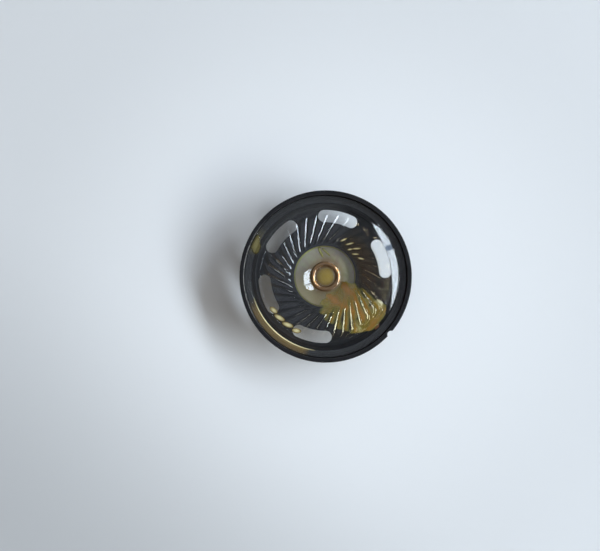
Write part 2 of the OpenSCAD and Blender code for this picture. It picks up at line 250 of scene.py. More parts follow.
class GeometryTree:
    """A Geometry Nodes tree with named inputs, which ends in Realize Instances and Set Material."""

    def __init__(self, name: str, inputs: dict[str, float | int]) -> None:
        """Makes the tree and its inputs.

        Args:
            name: The tree's name.
            inputs: The name and value of each input. A whole number makes a whole-number input.
        """
        self.tree = bpy.data.node_groups.new(name, "GeometryNodeTree")
        self.values = dict(inputs)
        interface = self.tree.interface
        interface.new_socket("Geometry", in_out="OUTPUT", socket_type="NodeSocketGeometry")
        interface.new_socket("Geometry", in_out="INPUT", socket_type="NodeSocketGeometry")
        for label, value in inputs.items():
            kind = "NodeSocketInt" if isinstance(value, int) else "NodeSocketFloat"
            interface.new_socket(label, in_out="INPUT", socket_type=kind)
        self.entry = self.tree.nodes.new("NodeGroupInput")

    def number(self, label: str) -> Field:
        """The named input as a number."""
        return Field(self.tree, self.entry.outputs[label])

    def node(self, kind: str, **links: "bpy.types.NodeSocket | Field | float | int | bool") -> bpy.types.Node:
        """Adds a node.

        Args:
            kind: Blender's name of the node's class.
            links: What feeds each input, under its name with spaces as underscores.

        Returns:
            The node.
        """
        node = self.tree.nodes.new(kind)
        for label, value in links.items():
            socket = node.inputs[label.replace("_", " ")]
            if isinstance(value, Field):
                self.tree.links.new(value.socket, socket)
            elif isinstance(value, bpy.types.NodeSocket):
                self.tree.links.new(value, socket)
            else:
                socket.default_value = value
        return node

    def close(self, geometry: bpy.types.NodeSocket, material: bpy.types.Material) -> None:
        """Shades the geometry smooth, realizes it, gives it its material and sends it out.

        Args:
            geometry: The shape.
            material: The finish.
        """
        smooth = self.node("GeometryNodeSetShadeSmooth", Geometry=geometry)
        real = self.node("GeometryNodeRealizeInstances", Geometry=smooth.outputs["Geometry"])
        dressed = self.node("GeometryNodeSetMaterial", Geometry=real.outputs["Geometry"])
        dressed.inputs["Material"].default_value = material
        exit_node = self.tree.nodes.new("NodeGroupOutput")
        self.tree.links.new(dressed.outputs["Geometry"], exit_node.inputs["Geometry"])

    def make(self, name: str, wall: float = 0.0, source: bpy.types.ID | None = None) -> bpy.types.Object:
        """Runs the tree and keeps its result as a plain mesh.

        Args:
            name: The new piece's name.
            wall: Thickness in metres that Solidify gives the surface, or 0.
            source: A curve that the tree reads as its geometry, or None.

        Returns:
            The piece.
        """
        start = add_object(f"{name}_source", source or bpy.data.meshes.new(name))
        modifier = start.modifiers.new("shape", "NODES")
        modifier.node_group = self.tree
        for item in self.tree.interface.items_tree:
            if item.in_out == "INPUT" and item.name in self.values:
                modifier[item.identifier] = self.values[item.name]
        if wall:
            solidify = start.modifiers.new("wall", "SOLIDIFY")
            solidify.thickness = wall
            solidify.offset = 0.0
        graph = bpy.context.evaluated_depsgraph_get()
        mesh = bpy.data.meshes.new_from_object(start.evaluated_get(graph), depsgraph=graph)
        bpy.data.objects.remove(start)
        mesh.name = name
        piece = add_object(name, mesh)
        face_outwards(piece)
        return piece


def face_outwards(piece: bpy.types.Object) -> None:
    """Turns a closed mesh inside out if its faces point inwards.

    Args:
        piece: The piece.
    """
    shape = bmesh.new()
    shape.from_mesh(piece.data)
    if shape.calc_volume(signed=True) < 0:
        bmesh.ops.reverse_faces(shape, faces=shape.faces)
        shape.to_mesh(piece.data)
    shape.free()


def mesh_piece(name: str, points: Sequence[Point], faces: Sequence[Sequence[int]],
               material: bpy.types.Material) -> bpy.types.Object:
    """Makes a smooth closed piece from points in millimetres.

    Args:
        name: The piece's name.
        points: The vertices, in millimetres.
        faces: The vertices of each face.
        material: The finish.

    Returns:
        The piece, with its faces outwards.
    """
    mesh = bpy.data.meshes.new(name)
    mesh.from_pydata([[c * MM for c in p] for p in points], [], faces)
    mesh.materials.append(material)
    mesh.shade_smooth()
    piece = add_object(name, mesh)
    face_outwards(piece)
    return piece


def lathe(name: str, outline: Outline, steps: int, material: bpy.types.Material) -> bpy.types.Object:
    """Turns a closed outline about the axis.

    Args:
        name: The piece's name.
        outline: Radius and height of each point, in millimetres. None lies on the axis.
        steps: How many steps go round.
        material: The finish.

    Returns:
        The piece.
    """
    count = len(outline)
    points = [
        (r * math.cos(math.tau * i / steps), r * math.sin(math.tau * i / steps), z)
        for i in range(steps) for r, z in outline
    ]
    faces = []
    for i in range(steps):
        here, there = i * count, (i + 1) % steps * count
        for j in range(count):
            k = (j + 1) % count
            faces.append((here + j, there + j, there + k, here + k))
    return mesh_piece(name, points, faces, material)


def cap(name: str, outline: Outline, centre: Point, steps: int, material: bpy.types.Material) -> bpy.types.Object:
    """Turns an outline that starts and ends on its own upright axis.

    Args:
        name: The piece's name.
        outline: Radius and height of each point. The first and the last lie on the axis.
        centre: Where the axis stands, in millimetres.
        steps: How many steps go round.
        material: The finish.

    Returns:
        The piece.
    """
    cx, cy, cz = centre
    rows = outline[1:-1]
    points = [(cx, cy, cz + outline[0][1]), (cx, cy, cz + outline[-1][1])]
    for r, z in rows:
        for i in range(steps):
            a = math.tau * i / steps
            points.append((cx + r * math.cos(a), cy + r * math.sin(a), cz + z))
    faces = []
    last = 2 + (len(rows) - 1) * steps
    for i in range(steps):
        k = (i + 1) % steps
        faces.append((0, 2 + i, 2 + k))
        faces.append((1, last + k, last + i))
        for j in range(len(rows) - 1):
            row = 2 + j * steps
            faces.append((row + i, row + steps + i, row + steps + k, row + k))
    return mesh_piece(name, points, faces, material)


def arc(centre: tuple[float, float], radius: float, start: float, end: float, steps: int) -> Outline:
    """Points along an arc.

    Args:
        centre: Centre of the arc.
        radius: Radius of the arc.
        start: First angle in degrees.
        end: Last angle in degrees.
        steps: How many steps the arc has.

    Returns:
        The points, both ends included.
    """
    turn = [math.radians(start + (end - start) * i / steps) for i in range(steps + 1)]
    return [(centre[0] + radius * math.cos(a), centre[1] + radius * math.sin(a)) for a in turn]


def around(r: float, degrees: float) -> tuple[float, float]:
    """X and Y of a point at a radius and a direction."""
    return r * math.cos(math.radians(degrees)), r * math.sin(math.radians(degrees))


def beside(along: float, across: float, degrees: float) -> tuple[float, float]:
    """X and Y of a point that lies so far along a direction, and so far to its left."""
    (ax, ay), (bx, by) = around(along, degrees), around(across, degrees + 90)
    return ax + bx, ay + by


def towards(x: Field, y: Field, degrees: float) -> Field:
    """How far a point lies in a direction."""
    along_x, along_y = around(1.0, degrees)
    return x * along_x + y * along_y


def slab(name: str, tops: Sequence[Point], bottoms: Sequence[Point], columns: int,
         material: bpy.types.Material) -> bpy.types.Object:
    """Closes two grids of points into one thin piece.

    Args:
        name: The piece's name.
        tops: Points of the upper grid, row by row.
        bottoms: Points of the lower grid, in the same order.
        columns: Points in a row.
        material: The finish.

    Returns:
        The piece.
    """
    rows = len(tops) // columns
    under = len(tops)
    faces = []
    for i in range(rows - 1):
        for j in range(columns - 1):
            a = i * columns + j
            faces.append((a, a + 1, a + columns + 1, a + columns))
            faces.append((under + a, under + a + columns, under + a + columns + 1, under + a + 1))
    border = [*range(columns), *range(2 * columns - 1, rows * columns, columns),
              *range(rows * columns - 2, (rows - 1) * columns - 1, -1),
              *range((rows - 2) * columns, 0, -columns)]
    for a, b in zip(border, border[1:] + border[:1]):
        faces.append((b, a, under + a, under + b))
    return mesh_piece(name, [*tops, *bottoms], faces, material)


def paint_depth(piece: bpy.types.Object, depths: Sequence[float]) -> None:
    """Writes the glue's depth on each vertex, where its finish reads it."""
    layer = piece.data.attributes.new("depth", "FLOAT", "POINT")
    layer.data.foreach_set("value", list(depths))


def glue_layer(name: str, steps: tuple[int, int], place: Callable[[float, float], Station],
               material: bpy.types.Material) -> bpy.types.Object:
    """Lays a thin closed layer of glue.

    Args:
        name: The piece's name.
        steps: How many steps it has along and across.
        place: Gives X, Y, the heights of the upper and the lower face, and the glue's depth, for a place
            along and across the layer. Both run from 0 to 1.
        material: The finish.

    Returns:
        The layer, with its depth painted on.
    """
    rows, columns = steps
    stations = [place(i / rows, j / columns) for i in range(rows + 1) for j in range(columns + 1)]
    tops = [(x, y, top) for x, y, top, _, _ in stations]
    bottoms = [(x, y, bottom) for x, y, _, bottom, _ in stations]
    piece = slab(name, tops, bottoms, columns + 1, material)
    paint_depth(piece, [station[-1] for station in stations] * 2)
    return piece


def dress(node: str, material: bpy.types.Material) -> None:
    """Gives a CAD node its finish.

    Args:
        node: The node.
        material: The finish.
    """
    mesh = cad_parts[node].data
    mesh.materials.clear()
    mesh.materials.append(material)


@dataclass(frozen=True)
class Film:
    """The clear film's middle surface, in millimetres and degrees.

    The edge lies at edge_z.
    """

    edge_z: float
    outer: float
    cone: float
    flat: float = 1.75
    rise: float = 1.8
    bead_r: float = 3.7
    bead_half: float = 0.85
    bead_rise: float = 0.55
    dome_rise: float = 0.45
    rib_start: float = 9.4
    rib_end: float = 18.75
    rib_rise: float = 0.325
    rib_valley: float = 0.045
    rib_lead_in: float = 0.2
    rib_run_out: float = 0.12
    rib_slant: float = 0.1
    rib_tangent_r: float = 6.3
    rib_middle: float = 13.95
    rib_phase: float = 8.55
    ribs: int = 36
    roll: float = 0.08
    rolls: int = 3
    lip_rise: float = 0.12
    flank_r: float = 7.2
    flank_rise: float = 0.09
    wall: float = 0.09
    glue_gap: float = 0.03
    held: float = 0.1
    freed: float = 0.05

    @property
    def bead_in(self) -> float:
        """Where the bead meets the dome."""
        return self.bead_r - self.bead_half

    @property
    def arch_in(self) -> float:
        """Where the arch meets the bead."""
        return self.bead_r + self.bead_half

    @property
    def arch_out(self) -> float:
        """Where the arch meets the flat edge."""
        return self.outer - self.flat

    @property
    def arch_mid(self) -> float:
        """Radius of the arch's crest."""
        return (self.arch_in + self.arch_out) / 2

    @property
    def arch_half(self) -> float:
        """Half of the arch's span."""
        return (self.arch_out - self.arch_in) / 2

    @staticmethod
    def bow(half: float, rise: float) -> float:
        """Radius of the arc that spans twice the half width with this rise."""
        return (half * half + rise * rise) / (2 * rise)

    def height(self, r: float) -> float:
        """Height of the smooth film at a radius.

        Args:
            r: The radius.

        Returns:
            The height.
        """
        def lift(offset: float, half: float, rise: float) -> float:
            """Height of an arc above its ends."""
            radius = self.bow(half, rise)
            return math.sqrt(radius ** 2 - offset ** 2) - math.sqrt(radius ** 2 - half ** 2)

        if r < self.bead_in:
            return self.edge_z + self.dome_rise * (1 - (r / self.bead_in) ** 2)
        if r < self.arch_in:
            return self.edge_z + lift(r - self.bead_r, self.bead_half, self.bead_rise)
        if r < self.arch_out:
            reach = self.flank_r - self.arch_in if r < self.flank_r else self.rib_start - self.flank_r
            near = min(max(1 - abs(r - self.flank_r) / reach, 0.0), 1.0)
            flank = self.flank_rise * near * near * (3 - 2 * near)
            return self.edge_z + lift(r - self.arch_mid, self.arch_half, self.rise) + flank
        return self.edge_z

    def under(self, r: float) -> float:
        """Top of the glue that lies under the film at a radius."""
        return self.height(r) - self.wall / 2 - self.glue_gap

    def rib_bearing(self, r: float) -> float:
        """Direction of the first rib at a radius, in degrees. The ribs are straight and touch one circle."""
        return self.rib_phase + math.degrees(
            math.acos(self.rib_tangent_r / self.rib_middle) - math.acos(self.rib_tangent_r / r))

    def flex(self, piece: bpy.types.Object) -> None:
        """Bakes the place of a piece at the film's edge into its mesh.

        Args:
            piece: The piece.
        """
        moving = (0.0, 0.0, (self.height(self.cone) - self.freed) * MM)
        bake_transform(piece)


class Shader:
    """Builds one material's nodes. Patterns are in millimetres of Object coordinates."""

    def __init__(self, name: str) -> None:
        """Makes an empty material.

        Args:
            name: Its name.
        """
        self.material = bpy.data.materials.new(name)
        self.material.use_nodes = True
        self.tree = self.material.node_tree
        self.tree.nodes.clear()
        self.out = self.tree.nodes.new("ShaderNodeOutputMaterial")
        coordinates = self.tree.nodes.new("ShaderNodeTexCoord")
        scale = self.tree.nodes.new("ShaderNodeVectorMath")
        scale.operation = "SCALE"
        scale.inputs["Scale"].default_value = 1 / MM
        self.tree.links.new(coordinates.outputs["Object"], scale.inputs[0])
        self.place = scale.outputs[0]

    def link(self, value: "Field | bpy.types.NodeSocket", socket: bpy.types.NodeSocket) -> None:
        """Feeds a socket from a number or another socket."""
        self.tree.links.new(value.socket if isinstance(value, Field) else value, socket)

    def noise(self, scale: float, detail: float = 3.0, rough: float = 0.5, twist: float = 0.0) -> Field:
        """Soft noise from 0 to 1.

        Args:
            scale: Bumps per millimetre.
            detail: Octaves.
            rough: Weight of the finer octaves.
            twist: Distortion.

        Returns:
            The noise.
        """
        node = self.tree.nodes.new("ShaderNodeTexNoise")
        node.inputs["Scale"].default_value = scale
        node.inputs["Detail"].default_value = detail
        node.inputs["Roughness"].default_value = rough
        node.inputs["Distortion"].default_value = twist
        self.tree.links.new(self.place, node.inputs["Vector"])
        return Field(self.tree, node.outputs["Fac"])

    def axes(self) -> tuple[Field, Field, Field]:
        """The three coordinates, in millimetres.

        Returns:
            X, Y and Z.
        """
        split = self.tree.nodes.new("ShaderNodeSeparateXYZ")
        self.tree.links.new(self.place, split.inputs[0])
        x, y, z = (Field(self.tree, split.outputs[axis]) for axis in "XYZ")
        return x, y, z

    def radius(self) -> Field:
        """Distance from the speaker's axis, in millimetres."""
        x, y, _ = self.axes()
        return (x * x + y * y).root()

    def blend_colour(self, amount: Field, base: bpy.types.NodeSocket | Colour, over: Colour) -> bpy.types.NodeSocket:
        """Mixes two colours.

        Args:
            amount: Share of the second colour, from 0 to 1.
            base: The first colour, or the socket that carries it.
            over: The second colour.

        Returns:
            The mixed colour.
        """
        return mix_colours(self.tree, amount, base, over)

    def ramp(self, value: Field, stops: Sequence[tuple[float, Colour]]) -> bpy.types.NodeSocket:
        """Colours along a number.

        Args:
            value: The number, from 0 to 1.
            stops: Place and colour of each stop.

        Returns:
            The colour.
        """
        node = self.tree.nodes.new("ShaderNodeValToRGB")
        elements = node.color_ramp.elements
        while len(elements) < len(stops):
            elements.new(0.5)
        for element, (place, colour) in zip(elements, stops):
            element.position = place
            element.color = (*colour, 1)
        self.link(value, node.inputs["Fac"])
        return node.outputs["Color"]

    def bump(self, height: Field, depth: float) -> bpy.types.NodeSocket:
        """A normal from a height field.

        Args:
            height: Height from 0 to 1.
            depth: What a height of 1 stands for, in millimetres.

        Returns:
            The normal.
        """
        node = self.tree.nodes.new("ShaderNodeBump")
        node.inputs["Distance"].default_value = depth * MM
        self.link(height, node.inputs["Height"])
        return node.outputs["Normal"]

    def principled(self, **numbers: float) -> bpy.types.Node:
        """A Principled shader with constants on its own sockets.

        Args:
            numbers: The value of each socket, under its name with spaces as underscores.

        Returns:
            The shader.
        """
        node = self.tree.nodes.new("ShaderNodeBsdfPrincipled")
        for label, value in numbers.items():
            node.inputs[label.replace("_", " ")].default_value = value
        return node

    def finish(self, shader: bpy.types.Node) -> bpy.types.Material:
        """Sends a shader out and returns the material."""
        self.tree.links.new(shader.outputs[0], self.out.inputs["Surface"])
        return self.material


@dataclass(frozen=True)
class SolidFinish:
    """An opaque finish: two or three tones in soft patches, with a grain that is felt in the gloss."""

    name: str
    tones: tuple[Colour, ...]
    rough: float
    rough_swing: float = 0.06
    metal: float = 0.0
    patch: float = 0.5
    grain: float = 12.0
    grain_depth: float = 0.004
    coat: float = 0.0

    def build(self) -> bpy.types.Material:
        """Makes the material.

        Returns:
            The material.
        """
        shader = Shader(self.name)
        patches = shader.noise(self.patch, detail=4.0, rough=0.6)
        grain = shader.noise(self.grain, detail=2.0)
        body = shader.principled(Metallic=self.metal, Coat_Weight=self.coat, Coat_Roughness=0.12)
        last = len(self.tones) - 1
        stops = [(0.32 + 0.36 * i / max(last, 1), tone) for i, tone in enumerate(self.tones)]
        shader.link(shader.ramp(patches, stops), body.inputs["Base Color"])
        gloss = (patches - 0.5) * self.rough_swing + (grain - 0.5) * self.rough_swing + self.rough
        shader.link(gloss, body.inputs["Roughness"])
        shader.link(shader.bump(grain, self.grain_depth), body.inputs["Normal"])
        return shader.finish(body)


@dataclass(frozen=True)
class BasketFinish:
    """Black moulded plastic. The rim's inner top edge is painted pale as a painted highlight, strongly on the left
    side, whose inner wall faces the window.
    """

    name: str = "black_plastic"
    tones: tuple[Colour, Colour] = ((0.009, 0.009, 0.0105), (0.0145, 0.0145, 0.0165))
    painted_edge_highlight: Colour = (0.3, 0.29, 0.27)
    edge_r: float = 23.76
    edge_z: float = 15.82
    edge_half: float = 0.2
    side: float = 178.0
    side_half: float = 42.0

    def build(self) -> bpy.types.Material:
        """Makes the material.

        Returns:
            The material.
        """
        shader = Shader(self.name)
        patches = shader.noise(0.3, detail=4.0, rough=0.6)
        grain = shader.noise(9.0, detail=2.0)
        x, y, z = shader.axes()
        radius = shader.radius()
        facing = towards(x, y, self.side) / radius.least(0.1)
        side = facing.smooth(math.cos(math.radians(self.side_half)), 0.97)
        edge = (1.0 - (radius - self.edge_r).size().smooth(self.edge_half * 0.3, self.edge_half)) \
            * z.smooth(self.edge_z - 0.2, self.edge_z)
        # painted highlight: a pale, glossier band on the rim's inner top edge, strong on the left side that faces the
        # window's light and faint all round
        edge_highlight_share = edge * (side * 0.75 + 0.06) * shader.noise(1.6, detail=4.0).smooth(0.25, 0.6)
        body = shader.principled(Specular_IOR_Level=0.17)
        shader.link(shader.blend_colour(edge_highlight_share, shader.ramp(patches, [(0.32, self.tones[0]), (0.68, self.tones[1])]),
                                        self.painted_edge_highlight), body.inputs["Base Color"])
        shader.link((patches + grain - 1.0) * 0.14 + 0.46 - edge_highlight_share * 0.2, body.inputs["Roughness"])
        shader.link(shader.bump(grain, 0.005), body.inputs["Normal"])
        return shader.finish(body)


@dataclass(frozen=True)
class PlatedFinish:
    """Zinc plate with a thin passivation that shifts between grey-green, straw and violet."""

    name: str
    tones: tuple[Colour, ...]
    rough: float = 0.42
    metal: float = 0.75
    ring_pitch: float = 0.16
    heart: Colour | None = None
    heart_r: float = 6.6
    # painted light: a lighter, yellower tone laid on one side of the plate
    painted_light_tone: Colour = (0.95, 0.82, 0.42)
    painted_light_side: float = -118.0

    def build(self) -> bpy.types.Material:
        """Makes the material.

        Returns:
            The material.
        """
        shader = Shader(self.name)
        clouds = shader.noise(0.22, detail=5.0, rough=0.62, twist=1.2)
        fine = shader.noise(7.0)
        body = shader.principled(Metallic=self.metal)
        last = len(self.tones) - 1
        stops = [(0.3 + 0.42 * i / last, tone) for i, tone in enumerate(self.tones)]
        colour = shader.ramp(clouds + (fine - 0.5) * 0.12, stops)
        x, y, _ = shader.axes()
        radius = shader.radius()
        if self.heart:
            # painted light: towards the lower left the plate is painted lighter and yellower, to lift the shade that
            # the coil casts there
            lean = towards(x, y, self.painted_light_side).smooth(0.5, 8.0)
            colour = shader.blend_colour(lean * (clouds * 0.5 + 0.4), colour, self.painted_light_tone)
            near = 1.0 - radius.smooth(self.heart_r - 2.6, self.heart_r)
            colour = shader.blend_colour(near * (clouds + 0.15).clamp(), colour, self.heart)
        shader.link(colour, body.inputs["Base Color"])
        shader.link((fine - 0.5) * 0.16 + self.rough, body.inputs["Roughness"])
        rings = (radius * (math.tau / self.ring_pitch)).sine() * 0.5 + 0.5
        shader.link(shader.bump(rings * 0.35 + fine * 0.65, 0.004), body.inputs["Normal"])
        return shader.finish(body)


@dataclass(frozen=True)
class ClearFilmFinish:
    """Clear polyester film: nearly all light goes straight through, and the rest is a sharp reflection."""

    name: str = "clear_film"
    face_on: float = 0.033
    rough: float = 0.03
    tint: Colour = (0.975, 0.98, 0.98)
    haze: float = 0.006
    sheen: Colour = (0.8, 0.8, 0.8)
    glued: Colour = (0.8, 0.7, 0.49)
    glued_arc: tuple[float, float] = (-84.0, -28.0)
    washed: Colour = (0.42, 0.31, 0.17)
    washed_arc: tuple[float, float] = (-28.0, 66.0)
    glued_r: tuple[float, float] = (9.5, 18.6)
    soft: float = 6.0
    dust: Colour = (0.8, 0.85, 0.95)

    def build(self) -> bpy.types.Material:
        """Makes the material.

        Returns:
            The material.
        """
        shader = Shader(self.name)
        through = shader.tree.nodes.new("ShaderNodeBsdfTransparent")
        through.inputs["Color"].default_value = (*self.tint, 1)
        gloss = shader.tree.nodes.new("ShaderNodeBsdfAnisotropic")
        smudges = shader.noise(0.5, detail=4.0, rough=0.6)
        shader.link(smudges * 0.04 + self.rough, gloss.inputs["Roughness"])
        x, y, _ = shader.axes()
        inner, outer = self.glued_r
        belt = shader.radius().band(inner - 1.0, inner, outer, outer + 0.7)
        sheen = self.sheen
        for (lo, hi), tone in ((self.glued_arc, self.glued), (self.washed_arc, self.washed)):
            inside = belt * y.bearing(x).band(lo - self.soft, lo + self.soft, hi - self.soft, hi + self.soft)
            sheen = shader.blend_colour(inside, sheen, tone)
        shader.link(sheen, gloss.inputs["Color"])
        edge = shader.tree.nodes.new("ShaderNodeLayerWeight")
        edge.inputs["Blend"].default_value = 0.5
        facing = Field(shader.tree, edge.outputs["Facing"])
        share = facing ** 5.0 * (1 - self.face_on) + self.face_on
        mix = shader.tree.nodes.new("ShaderNodeMixShader")
        shader.link(share, mix.inputs[0])
        shader.tree.links.new(through.outputs[0], mix.inputs[1])
        shader.tree.links.new(gloss.outputs[0], mix.inputs[2])
        dust = shader.tree.nodes.new("ShaderNodeBsdfDiffuse")
        dust.inputs["Color"].default_value = (*self.dust, 1)
        veil = shader.tree.nodes.new("ShaderNodeMixShader")
        shader.link(smudges * (2 * self.haze), veil.inputs[0])
        shader.tree.links.new(mix.outputs[0], veil.inputs[1])
        shader.tree.links.new(dust.outputs[0], veil.inputs[2])
        return shader.finish(veil)


@dataclass(frozen=True)
class SeatFinish:
    """Dried adhesive under the film's edge: dark and faintly ringed, with golden and olive runs."""

    name: str = "seat_adhesive"
    dark: Colour = (0.006, 0.006, 0.005)
    pale: Colour = (0.032, 0.031, 0.028)
    gold: Colour = (0.4, 0.26, 0.06)
    brown: Colour = (0.2, 0.12, 0.028)
    olive: Colour = (0.12, 0.1, 0.035)
    gold_r: float = 22.0
    gold_arc: tuple[float, float] = (-157.0, -101.0)
    olive_arc: tuple[float, float] = (146.0, 165.0)
    soft: float = 7.0

    def build(self) -> bpy.types.Material:
        """Makes the material.

        Returns:
            The material.
        """
        shader = Shader(self.name)
        x, y, _ = shader.axes()
        radius = shader.radius()
        streaks = shader.noise(2.2)
        rings = (radius * 8.5 + streaks * 2.5).sine() * 0.5 + 0.5
        colour = shader.blend_colour(rings * 0.6, self.dark, self.pale)
        inward = 1.0 - radius.smooth(self.gold_r - 0.2, self.gold_r + 0.9)
        for (lo, hi), tone, share in (
                (self.gold_arc, self.brown, rings * 0.4 + 0.6),
                (self.gold_arc, self.gold, inward * (streaks * 0.6 + 0.35)),
                (self.olive_arc, self.olive, rings * 0.45 + 0.4)):
            inside = y.bearing(x).band(lo - self.soft, lo + self.soft, hi - self.soft, hi)
            colour = shader.blend_colour((inside * share).clamp(), colour, tone)
        body = shader.principled(Roughness=0.34)
        shader.link(colour, body.inputs["Base Color"])
        shader.link(shader.bump(rings * 0.6 + streaks * 0.4, 0.03), body.inputs["Normal"])
        return shader.finish(body)


@dataclass(frozen=True)
class GlueFinish:
    """Hardened glue: a glossy tinted layer whose own depth sets how much shows through it."""

    name: str
    thin: Colour
    thick: Colour
    least: float
    most: float
    tints: tuple[Colour, Colour] = ((0.84, 0.8, 0.6), (0.62, 0.38, 0.12))
    edge: Colour = (0.97, 0.97, 0.94)
    rough: float = 0.24
    mottle: float = 0.22

    def build(self) -> bpy.types.Material:
        """Makes the material. The piece's "depth" attribute says how deep the glue lies, from 0 to 1.

        Returns:
            The material.
        """
        shader = Shader(self.name)
        depth = shader.tree.nodes.new("ShaderNodeAttribute")
        depth.attribute_name = "depth"
        mottled = Field(shader.tree, depth.outputs["Fac"]) + (shader.noise(0.9, detail=4.0) - 0.5) * self.mottle
        amount = mottled.clamp()
        body = shader.principled(Roughness=self.rough, Coat_Weight=0.4, Coat_Roughness=0.1)
        shader.link(shader.ramp(amount, [(0.1, self.thin), (0.85, self.thick)]), body.inputs["Base Color"])
        shader.link(shader.bump(shader.noise(1.6), 0.02), body.inputs["Normal"])
        through = shader.tree.nodes.new("ShaderNodeBsdfTransparent")
        tint = shader.ramp(amount, [(0.0, self.edge), (0.25, self.tints[0]), (0.9, self.tints[1])])
        shader.link(tint, through.inputs["Color"])
        mix = shader.tree.nodes.new("ShaderNodeMixShader")
        shader.link((amount * (self.most - self.least) + self.least) * amount.smooth(0.0, 0.2), mix.inputs[0])
        shader.tree.links.new(through.outputs[0], mix.inputs[1])
        shader.tree.links.new(body.outputs[0], mix.inputs[2])
        return shader.finish(mix)


class Finishes:
    """Every finish on the speaker, built once."""

    def __init__(self) -> None:
        """Builds the materials."""
        self.plastic = BasketFinish().build()
        self.plate = PlatedFinish(
            "plated_steel", ((0.43, 0.43, 0.27), (0.54, 0.53, 0.36), (0.5, 0.43, 0.34), (0.42, 0.46, 0.42)),
            heart=(0.5, 0.31, 0.14)).build()
        # painted light: these yellow tones are lighter than the plating itself, so that the pole deep in the coil's
        # shade still looks lit
        self.pole = PlatedFinish(
            "pole_steel", ((0.72, 0.5, 0.08), (0.85, 0.7, 0.16), (0.62, 0.52, 0.1)), metal=0.15, rough=0.5).build()
        self.ferrite = SolidFinish(
            "ferrite", ((0.035, 0.035, 0.038), (0.07, 0.07, 0.073)), rough=0.62, patch=1.4, grain=16.0,
            grain_depth=0.012).build()
        self.film = ClearFilmFinish().build()
        self.former = SolidFinish(
            "former_film", ((0.3, 0.13, 0.03), (0.42, 0.2, 0.05)), rough=0.3, patch=0.8).build()
        self.lacquer = SolidFinish(
            "coil_lacquer", ((0.24, 0.11, 0.03), (0.38, 0.2, 0.06)), rough=0.24, metal=0.75, patch=0.9,
            grain=5.0, grain_depth=0.005, coat=0.2).build()
        self.enamel = SolidFinish(
            "wire_enamel", ((0.5, 0.2, 0.09), (0.62, 0.28, 0.13)), rough=0.25, metal=0.8, coat=0.4).build()
        self.lead = SolidFinish(
            "lead_enamel", ((0.16, 0.06, 0.015), (0.24, 0.1, 0.025)), rough=0.35, metal=0.2, coat=0.3).build()
        self.seat = SeatFinish().build()
        self.board = SolidFinish(
            "phenolic_board", ((0.28, 0.15, 0.055), (0.4, 0.23, 0.09), (0.34, 0.2, 0.09)), rough=0.48,
            patch=1.6, grain=22.0, grain_depth=0.008).build()
        self.brass = SolidFinish(
            "rivet_brass", ((0.56, 0.4, 0.14), (0.68, 0.52, 0.22)), rough=0.3, metal=1.0, patch=1.5).build()
        self.tinned = SolidFinish(
            "tinned_brass", ((0.58, 0.55, 0.46), (0.72, 0.7, 0.64)), rough=0.34, metal=1.0, patch=1.2).build()
        self.solder = SolidFinish(
            "solder", ((0.52, 0.52, 0.53), (0.7, 0.7, 0.71)), rough=0.24, metal=1.0, patch=2.2).build()
        self.amber = GlueFinish(
            "amber_adhesive", thin=(0.33, 0.32, 0.04), thick=(0.36, 0.16, 0.01), least=0.14, most=0.84,
            mottle=0.36).build()
        # painted light: a mostly opaque olive layer that makes the shaded pole inside the coil look lit, darker and
        # browner at its edge as painted shade
        self.dome_glue_painted_light = GlueFinish(
            "dome_varnish_painted_light", thin=(0.52, 0.36, 0.015), thick=(0.13, 0.065, 0.01), least=0.6, most=0.85,
            tints=((0.8, 0.65, 0.2), (0.4, 0.22, 0.08)), mottle=0.14).build()
        # painted glints: the thick end of this golden glue is near-white cream, painted as the bright glints of the
        # drops and the highlight line of the bead
        self.glue_with_painted_glints = GlueFinish(
            "glue_with_painted_glints", thin=(0.3, 0.18, 0.015), thick=(1.0, 0.9, 0.5), least=0.35, most=1.0, mottle=0.1).build()
        self.sealant = GlueFinish(
            "red_sealant", thin=(0.26, 0.11, 0.04), thick=(0.14, 0.055, 0.02), least=0.85, most=1.0).build()
        self.pale_glue = GlueFinish(
            "pale_glue", thin=(0.5, 0.52, 0.2), thick=(0.66, 0.68, 0.2), least=0.1, most=0.8).build()
        self.brown_glue = GlueFinish(
            "brown_varnish", thin=(0.03, 0.018, 0.006), thick=(0.05, 0.028, 0.008), least=0.03, most=0.32,
            tints=((0.97, 0.94, 0.88), (0.75, 0.62, 0.45)), mottle=0.3).build()
        self.olive_glue = GlueFinish(
            "olive_glue", thin=(0.17, 0.15, 0.06), thick=(0.22, 0.19, 0.07), least=0.2, most=0.8).build()


